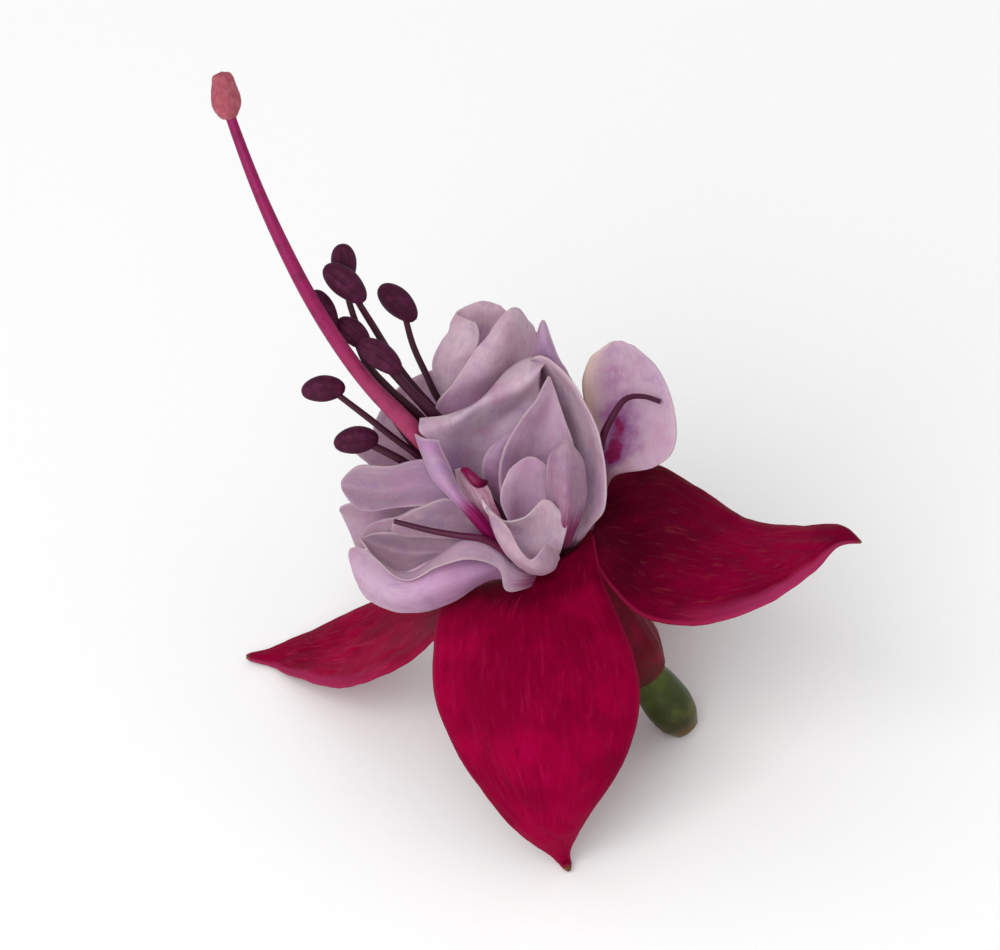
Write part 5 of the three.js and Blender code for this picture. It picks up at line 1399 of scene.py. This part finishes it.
# %% Style
STYLE = [
    (5.2, -8.1, 0.2, 0.8),
    (3.0, -6.0, 0.6, 0.85),
    (-2.0, -1.5, 1.9, 0.95),
    (-7.5, 3.3, 6.2, 1.0),
    (-10.3, 6.2, 8.0, 0.94),
    (-13.0, 9.0, 9.6, 0.82),
    (-16.0, 13.0, 10.8, 0.78),
    (-18.8, 17.5, 11.8, 0.74),
    (-21.3, 22.3, 12.6, 0.7),
    (-23.8, 27.8, 13.3, 0.62),
    (-26.0, 33.5, 13.8, 0.54),
    (-27.2, 37.0, 14.2, 0.5),
]
style_pink = stalk_finish("style_pink", [colour(150, 60, 92), colour(150, 52, 88), colour(136, 18, 78),
                          colour(132, 10, 78)])
style = stalk("bloom_style", STYLE, style_pink, sides=28)
finish_piece(style, None, "style", "style")
print("style:", len(style.data.polygons), "faces")

# %% [markdown]
# ## Filaments
#
# Eight filaments grow from the rim of the throat and fan out under the style. No two bend alike, so each
# has its own stations.

# %% Filaments
FILAMENTS = {
    "filament_1": [
        (4.2, -7.2, -1.2, 0.34),
        (-2.0, -0.5, 1.6, 0.36),
        (-7.0, 6.0, 4.2, 0.36),
        (-10.5, 9.9, 5.8, 0.36),
        (-13.4, 13.2, 6.7, 0.34),
        (-15.0, 17.2, 7.0, 0.32),
        (-15.4, 19.8, 7.1, 0.3),
    ],
    "filament_2": [
        (5.9, -6.3, -0.8, 0.34),
        (-1.0, 0.4, 1.0, 0.4),
        (-6.0, 5.9, 3.0, 0.42),
        (-9.5, 9.9, 4.8, 0.4),
        (-12.8, 15.1, 7.6, 0.36),
        (-14.6, 18.0, 9.5, 0.32),
    ],
    "filament_3": [
        (7.0, -6.6, 0.8, 0.34),
        (-1.5, 2.0, -0.6, 0.36),
        (-6.0, 7.3, 1.2, 0.36),
        (-7.5, 10.3, 2.0, 0.34),
        (-8.7, 13.0, 2.5, 0.33),
        (-9.6, 16.3, 3.0, 0.3),
    ],
    "filament_4": [
        (3.2, -8.6, -0.8, 0.34),
        (-3.0, -2.0, 1.2, 0.36),
        (-8.2, 2.5, 4.2, 0.36),
        (-10.9, 6.1, 6.0, 0.36),
        (-14.0, 10.3, 7.8, 0.34),
        (-17.0, 14.8, 8.9, 0.3),
    ],
    "filament_5": [
        (4.4, -9.8, 1.4, 0.34),
        (-3.4, 0.4, 2.4, 0.42),
        (-8.0, 5.8, 5.6, 0.46),
        (-11.0, 8.5, 7.2, 0.44),
        (-13.2, 11.0, 8.2, 0.4),
        (-14.4, 13.6, 8.5, 0.34),
    ],
    "filament_6": [
        (6.9, -8.0, 1.8, 0.34),
        (-1.2, 0.6, 2.4, 0.42),
        (-6.8, 6.4, 7.0, 0.46),
        (-8.9, 8.4, 8.8, 0.44),
        (-10.8, 10.7, 11.2, 0.4),
    ],
    "filament_7": [
        (3.0, -10.2, 0.9, 0.34),
        (-2.2, -3.6, 2.6, 0.34),
        (-8.6, 2.2, 5.0, 0.34),
        (-10.6, 3.7, 6.2, 0.34),
        (-13.0, 5.6, 7.7, 0.34),
        (-16.4, 8.2, 8.6, 0.3),
    ],
    "filament_8": [
        (2.2, -9.4, -0.4, 0.34),
        (-2.4, -4.6, 1.0, 0.36),
        (-7.0, -0.6, 2.4, 0.4),
        (-9.4, 1.2, 4.2, 0.42),
        (-11.0, 2.1, 4.9, 0.42),
        (-13.2, 3.2, 5.5, 0.38),
    ],
}
filament_wine = stalk_finish("filament_wine", [colour(104, 4, 44), colour(96, 2, 42), colour(54, 20, 34),
                             colour(62, 22, 40)])
for name, stations in FILAMENTS.items():
    finish_piece(stalk("bloom_" + name, stations, filament_wine), None, "filaments", name)
print("filaments:", len(FILAMENTS))

# %% [markdown]
# ## Strap-like stamens
#
# In a double flower some stamens turn half into petals and lose their anthers. Two such straps lie on the
# petals here, one over the left cup and one over the side petal.

# %% Strap-like stamens
STAMINODES = {
    "staminode_left": [
        (2.0, -9.0, 6.4, 0.36),
        (0.5, -7.6, 9.0, 0.36),
        (-1.6, -6.4, 9.8, 0.36),
        (-4.2, -6.0, 9.7, 0.34),
        (-7.0, -5.5, 9.3, 0.31),
        (-9.0, -5.0, 8.9, 0.28),
        (-10.5, -4.6, 8.5, 0.25),
    ],
    "staminode_right": [
        (9.6, -3.3, 2.9, 0.36),
        (9.9, 1.3, 4.0, 0.38),
        (10.3, 3.9, 4.9, 0.38),
        (11.2, 5.8, 5.0, 0.35),
        (12.3, 7.4, 4.8, 0.32),
        (13.1, 7.8, 4.6, 0.28),
        (14.5, 7.8, 4.4, 0.26),
        (16.0, 7.3, 4.3, 0.25),
    ],
}
strap_plum = stalk_finish("strap_plum", [colour(104, 10, 58), colour(76, 14, 48), colour(62, 20, 44)])
for name, stations in STAMINODES.items():
    finish_piece(stalk("bloom_" + name, stations, strap_plum), None, "staminodes", name)
print("strap-like stamens:", len(STAMINODES))

# %% [markdown]
# ## Plump organs: anthers, stigma, tube and ovary
#
# These are turned shapes with a section that isn't round. An anther is two sacs side by side with a seam
# between them, and the stigma has four lobes. A short formula gives each its section, ring by ring.

# %% A turned organ
def turned(name, stations, section, rings=40, sides=40):
    """A closed shape round a path. section(u, angle) is its reach as a share of the radius."""
    stations = np.array(stations, float)
    at = np.linspace(0, 1, rings + 1)
    path = spline(stations[:, :3], at)
    radius = spline(np.repeat(stations[:, 3:], 3, axis=1), at)[:, 0]
    tangent = np.gradient(path, axis=0)
    tangent /= np.linalg.norm(tangent, axis=1, keepdims=True)
    side = np.cross(tangent, (0.0, 0.0, 1.0))
    side /= np.linalg.norm(side, axis=1, keepdims=True)
    up = np.cross(side, tangent)
    angle = np.linspace(0, 2 * math.pi, sides, endpoint=False)
    reach = radius[:, None] * section(at[:, None], angle[None])
    skin = path[:, None] + reach[..., None] * (
        side[:, None] * np.cos(angle)[None, :, None] + up[:, None] * np.sin(angle)[None, :, None])
    vertices = np.concatenate((skin.reshape(-1, 3), path[:1], path[-1:]))
    index = np.arange((rings + 1) * sides).reshape(rings + 1, sides)
    after = np.roll(index, -1, axis=1)
    walls = np.stack((index[:-1], after[:-1], after[1:], index[1:]), -1).reshape(-1, 4).tolist()
    first, last = len(vertices) - 2, len(vertices) - 1
    caps = [(first, int(after[0, k]), int(index[0, k])) for k in range(sides)]
    caps += [(last, int(index[-1, k]), int(after[-1, k])) for k in range(sides)]
    mesh = closed_mesh(name, vertices, walls + caps)
    u = np.append(np.repeat(at, sides), (0.0, 1.0))
    point_values(mesh, "along", u)
    return link(name, mesh)


print("turned shapes ready")

# %% [markdown]
# An anther is drawn with only its two ends, its radius and how far it bows. The stations between them lie
# closer together near the ends, so that the ends come out round.

# %% Stations of a plump organ
def plump_stations(start, end, radius, bow, count=25, fullness=0.99):
    start, end = np.array(start, float), np.array(end, float)
    stations = []
    for step in range(count):
        share = (1 - math.cos(math.pi * step / (count - 1))) / 2
        off = (2 * share - 1) * fullness
        middle = start + (end - start) * share + np.array((0, bow * (1 - off * off), 0))
        stations.append((*middle, radius * math.sqrt(1 - off * off)))
    return stations


print("stations of an anther:", len(plump_stations((0, 0, 0), (4, 0, 0), 1.2, 0.3)))

# %% [markdown]
# Ripe anthers are dusted with pollen, and the stigma is covered in tiny soft knobs. A Geometry Nodes tree
# scatters small grains over a surface. The number, size and seed are its named inputs.

# %% Grain tree
SMALLEST_GRAIN = 0.5  # shares of the given size
LARGEST_GRAIN = 1.3

grains = bpy.data.node_groups.new("scattered_grains", "GeometryNodeTree")
GRAIN_INPUTS = {"Body": "Geometry", "Density": "Float", "Size": "Float", "Seed": "Int", "Skin": "Material",
                "Dust": "Material"}
for name, kind in GRAIN_INPUTS.items():
    grains.interface.new_socket(name, in_out="INPUT", socket_type="NodeSocket" + kind)
grains.interface.new_socket("Result", in_out="OUTPUT", socket_type="NodeSocketGeometry")
given = add_node(grains, "NodeGroupInput").outputs
scattered = add_node(grains, "GeometryNodeDistributePointsOnFaces", {"Mesh": given["Body"], "Density":
                     given["Density"], "Seed": given["Seed"]})
ball = add_node(grains, "GeometryNodeMeshIcoSphere", {"Radius": given["Size"], "Subdivisions": 1})
share = add_node(grains, "FunctionNodeRandomValue", {2: SMALLEST_GRAIN, 3: LARGEST_GRAIN, 8: given["Seed"]},
                 data_type="FLOAT")
placed = add_node(grains, "GeometryNodeInstanceOnPoints", {"Points": scattered.outputs["Points"], "Instance":
                  ball.outputs["Mesh"], "Rotation": scattered.outputs["Rotation"]})
grains.links.new(share.outputs[1], placed.inputs["Scale"])
real = add_node(grains, "GeometryNodeRealizeInstances", {"Geometry": placed.outputs[0]})
joined = add_node(grains, "GeometryNodeJoinGeometry")
for geometry, dress in ((given["Body"], given["Skin"]), (real.outputs[0], given["Dust"])):
    dressed = add_node(grains, "GeometryNodeSetMaterial", {"Geometry": geometry, "Material": dress})
    grains.links.new(dressed.outputs[0], joined.inputs[0])
smooth = add_node(grains, "GeometryNodeSetShadeSmooth", {"Geometry": joined.outputs[0]})
add_node(grains, "NodeGroupOutput", {"Result": smooth.outputs[0]})
print("grain tree:", len(grains.nodes), "nodes")

# %% [markdown]
# ## Finish of powdery organs
#
# Anthers, pollen and the stigma are matt. Two shades in patches and a fine bump are enough, because the
# grains give them their texture.

# %% Powdery finish
def powder_finish(name, body, fleck, roughness=0.7):
    finish, tree = new_finish(name)
    patch = cells(tree, own_place(tree), 1300.0, 4.0, 0.6)
    shade = mix(tree, ease(tree, patch, 0.42, 0.7), body, fleck)
    bump = add_node(tree, "ShaderNodeBump", {"Height": cells(tree, own_place(tree), 4200.0, 3.0),
                    "Strength": 0.6, "Distance": 0.0001})
    skin = add_node(tree, "ShaderNodeBsdfPrincipled", {"Base Color": shade, "Roughness": roughness,
                    "Specular IOR Level": 0.15, "Normal": bump.outputs[0]})
    show(tree, skin.outputs[0])
    return finish


print("powdery finish ready")

# %% [markdown]
# ## Anthers
#
# An anther is two sacs with a seam along each side. It sits on its filament's end, and a dusting of pollen
# grains breaks up its outline.

# %% Anthers
ANTHERS = {
    "anther_1": ((-15.8, 23.0, 7.3), (-15.3, 18.9, 7.1), 1.15),
    "anther_2": ((-17.5, 20.6, 9.7), (-13.5, 17.2, 9.6), 1.3),
    "anther_3": ((-12.1, 18.7, 3.1), (-8.5, 15.4, 3.0), 1.25),
    "anther_4": ((-18.6, 18.3, 9.1), (-16.5, 13.8, 8.9), 1.1),
    "anther_5": ((-16.2, 15.3, 8.5), (-13.1, 12.6, 8.4), 1.1),
    "anther_6": ((-14.0, 13.1, 11.6), (-9.9, 10.1, 11.2), 1.2),
    "anther_7": ((-19.7, 8.1, 8.7), (-15.4, 8.5, 8.5), 1.2),
    "anther_8": ((-16.5, 2.9, 5.6), (-12.1, 3.5, 5.5), 1.25),
}
POLLEN_DENSITY = 1.6e7  # grains to a square metre
POLLEN_SIZE = 0.000016
SEAM_WIDTH = 0.2  # radians
SEAM_DEPTH = 0.2
ANTHER_BOW = 0.3


def anther_section(u, angle):
    sacs = 1 + 0.1 * np.cos(2 * angle)
    seams = [np.exp(-(((angle - at) / SEAM_WIDTH) ** 2)) for at in (math.pi / 2, 1.5 * math.pi)]
    return (sacs - SEAM_DEPTH * (seams[0] + seams[1])) * (1 + 0.01 * np.sin(5 * u * math.pi))


anther_skin = powder_finish("anther_plum", colour(60, 10, 38), colour(80, 20, 54), 0.6)
pollen = powder_finish("pollen", colour(72, 20, 46), colour(96, 40, 62))
for number, (name, (start, end, radius)) in enumerate(ANTHERS.items()):
    stations = plump_stations(start, end, radius, bow=ANTHER_BOW)
    plain = turned("plain_" + name, stations, anther_section)
    anther = apply_tree(plain, grains, "bloom_" + name, density=POLLEN_DENSITY, size=POLLEN_SIZE,
                        seed=number, skin=anther_skin, dust=pollen)
    finish_piece(anther, None, "anthers", name)
    print(name, len(anther.data.polygons), "faces")

# %% [markdown]
# ## Stigma
#
# The stigma is a club with four lobes that part towards its end. Its first station is inside the end of the
# style. It gets its soft knobs from the same tree as the pollen, only larger.

# %% Stigma
STIGMA = [
    (-26.8, 35.1, 14.0, 0.3),
    (-26.8, 35.3, 14.0, 0.62),
    (-26.9, 35.8, 14.05, 1.0),
    (-27.0, 36.3, 14.1, 1.26),
    (-27.1, 36.9, 14.15, 1.38),
    (-27.2, 37.5, 14.2, 1.34),
    (-27.32, 38.2, 14.25, 1.18),
    (-27.42, 38.9, 14.3, 1.02),
    (-27.52, 39.4, 14.33, 0.9),
    (-27.57, 39.7, 14.36, 0.72),
    (-27.6, 39.85, 14.4, 0.3),
]
KNOB_DENSITY = 3.0e7
KNOB_SIZE = 0.00004
STIGMA_LOBES = 4


def stigma_section(u, angle):
    return 1 + (0.05 + 0.17 * u**2) * np.cos(STIGMA_LOBES * angle)


stigma_skin = powder_finish("stigma_salmon", colour(156, 74, 88), colour(170, 92, 102), 0.6)
knob_skin = powder_finish("stigma_knobs", colour(152, 78, 88), colour(166, 98, 102), 0.6)
stigma = apply_tree(turned("plain_stigma", STIGMA, stigma_section),
                    grains, "bloom_stigma", density=KNOB_DENSITY, size=KNOB_SIZE, seed=5, skin=stigma_skin,
                    dust=knob_skin)
finish_piece(stigma, None, "stigma", "stigma")
print("stigma", len(stigma.data.polygons), "faces")

# %% [markdown]
# ## Banded finish
#
# The last organs change colour from one end to the other and have soft flecks. A coat of low weight stands
# for the thin wax on the ovary.

# %% Banded finish
def banded_finish(name, shades, fleck, fleck_share, roughness, bump_size, coat=0.0, shine=0.2):
    finish, tree = new_finish(name)
    patch = cells(tree, own_place(tree), 420.0, 4.0, 0.6)
    spotted = mix(tree, ease(tree, patch, 0.45, 0.7, fleck_share), in_bands(tree, shades), fleck)
    bump = add_node(tree, "ShaderNodeBump", {"Height": cells(tree, own_place(tree), bump_size, 4.0),
                    "Strength": 0.35, "Distance": 0.00015})
    skin = add_node(tree, "ShaderNodeBsdfPrincipled", {"Base Color": spotted, "Roughness": roughness,
                    "Coat Weight": coat, "Coat Roughness": 0.2, "Specular IOR Level": shine,
                    "Normal": bump.outputs[0]})
    show(tree, skin.outputs[0])
    return finish


print("banded finish ready")

# %% [markdown]
# ## The curled tip
#
# At the heart of the bloom the tip of the striped sliver curls over into a small glossy roll of magenta. It
# has no solid of its own.

# %% Curled magenta tip
CURL = [
    (-3.8, 0.5, 8.3, 0.2),
    (-3.4, 0.4, 8.8, 0.36),
    (-2.9, -0.1, 9.1, 0.46),
    (-2.3, -0.7, 9.1, 0.5),
    (-1.7, -0.8, 8.8, 0.38),
    (-1.3, -0.6, 8.4, 0.16),
]


def curl_section(u, angle):
    return 1 + 0.12 * np.cos(2 * angle)


curl_magenta = banded_finish("curl_magenta", [colour(116, 0, 66), colour(104, 0, 54), colour(72, 0, 40)],
                             colour(150, 20, 90), 0.4, 0.3, 1500.0)
curl = turned("bloom_curled_tip", CURL, curl_section, rings=30, sides=28)
finish_piece(curl, curl_magenta, "petals")
print("curled tip:", len(curl.data.polygons), "faces")

# %% [markdown]
# ## Tube and ovary
#
# The tube is short and faintly ribbed, maroon where the sepals leave it and browner towards the ovary. The
# ovary is a smooth green berry in the making. It ends in a dry brown scar where its stalk was cut.

# %% Tube and ovary
TUBE = [
    (5.3, -8.2, 0.7, 4.6),
    (7.0, -10.3, -1.0, 4.5),
    (10.0, -14.0, -3.6, 4.1),
    (13.0, -17.8, -6.2, 3.5),
    (14.6, -19.9, -7.5, 2.4),
]
OVARY = [
    (14.7, -20.1, -7.6, 1.9),
    (15.7, -21.4, -8.3, 2.25),
    (16.9, -23.0, -9.1, 2.4),
    (18.0, -24.5, -9.9, 2.1),
    (18.8, -25.5, -10.4, 1.35),
]


def tube_section(u, angle):
    return 1 + 0.035 * np.cos(8 * angle) * (1 - 0.5 * u) + 0.012 * np.cos(19 * angle + 3 * u)


def ovary_section(u, angle):
    return 1 + 0.02 * np.cos(4 * angle)


tube = turned("bloom_calyx_tube", TUBE, tube_section, rings=60, sides=96)
tube_maroon = banded_finish("tube_maroon", [colour(104, 2, 30), colour(104, 3, 30), colour(98, 10, 30),
                            colour(84, 34, 34)], colour(136, 2, 46), 0.6, 0.5, 1500.0, shine=0.06)
finish_piece(tube, tube_maroon, "tube", "calyx_tube")
ovary = turned("bloom_ovary", OVARY, ovary_section, rings=60, sides=72)
ovary_green = banded_finish("ovary_green", [colour(70, 82, 24), colour(56, 68, 18), colour(48, 56, 14),
                            colour(52, 50, 16), colour(96, 70, 38)], colour(86, 94, 30), 0.5, 0.35, 1100.0,
                            coat=0.12)
finish_piece(ovary, ovary_green, "ovary", "ovary")
print("tube and ovary ready")
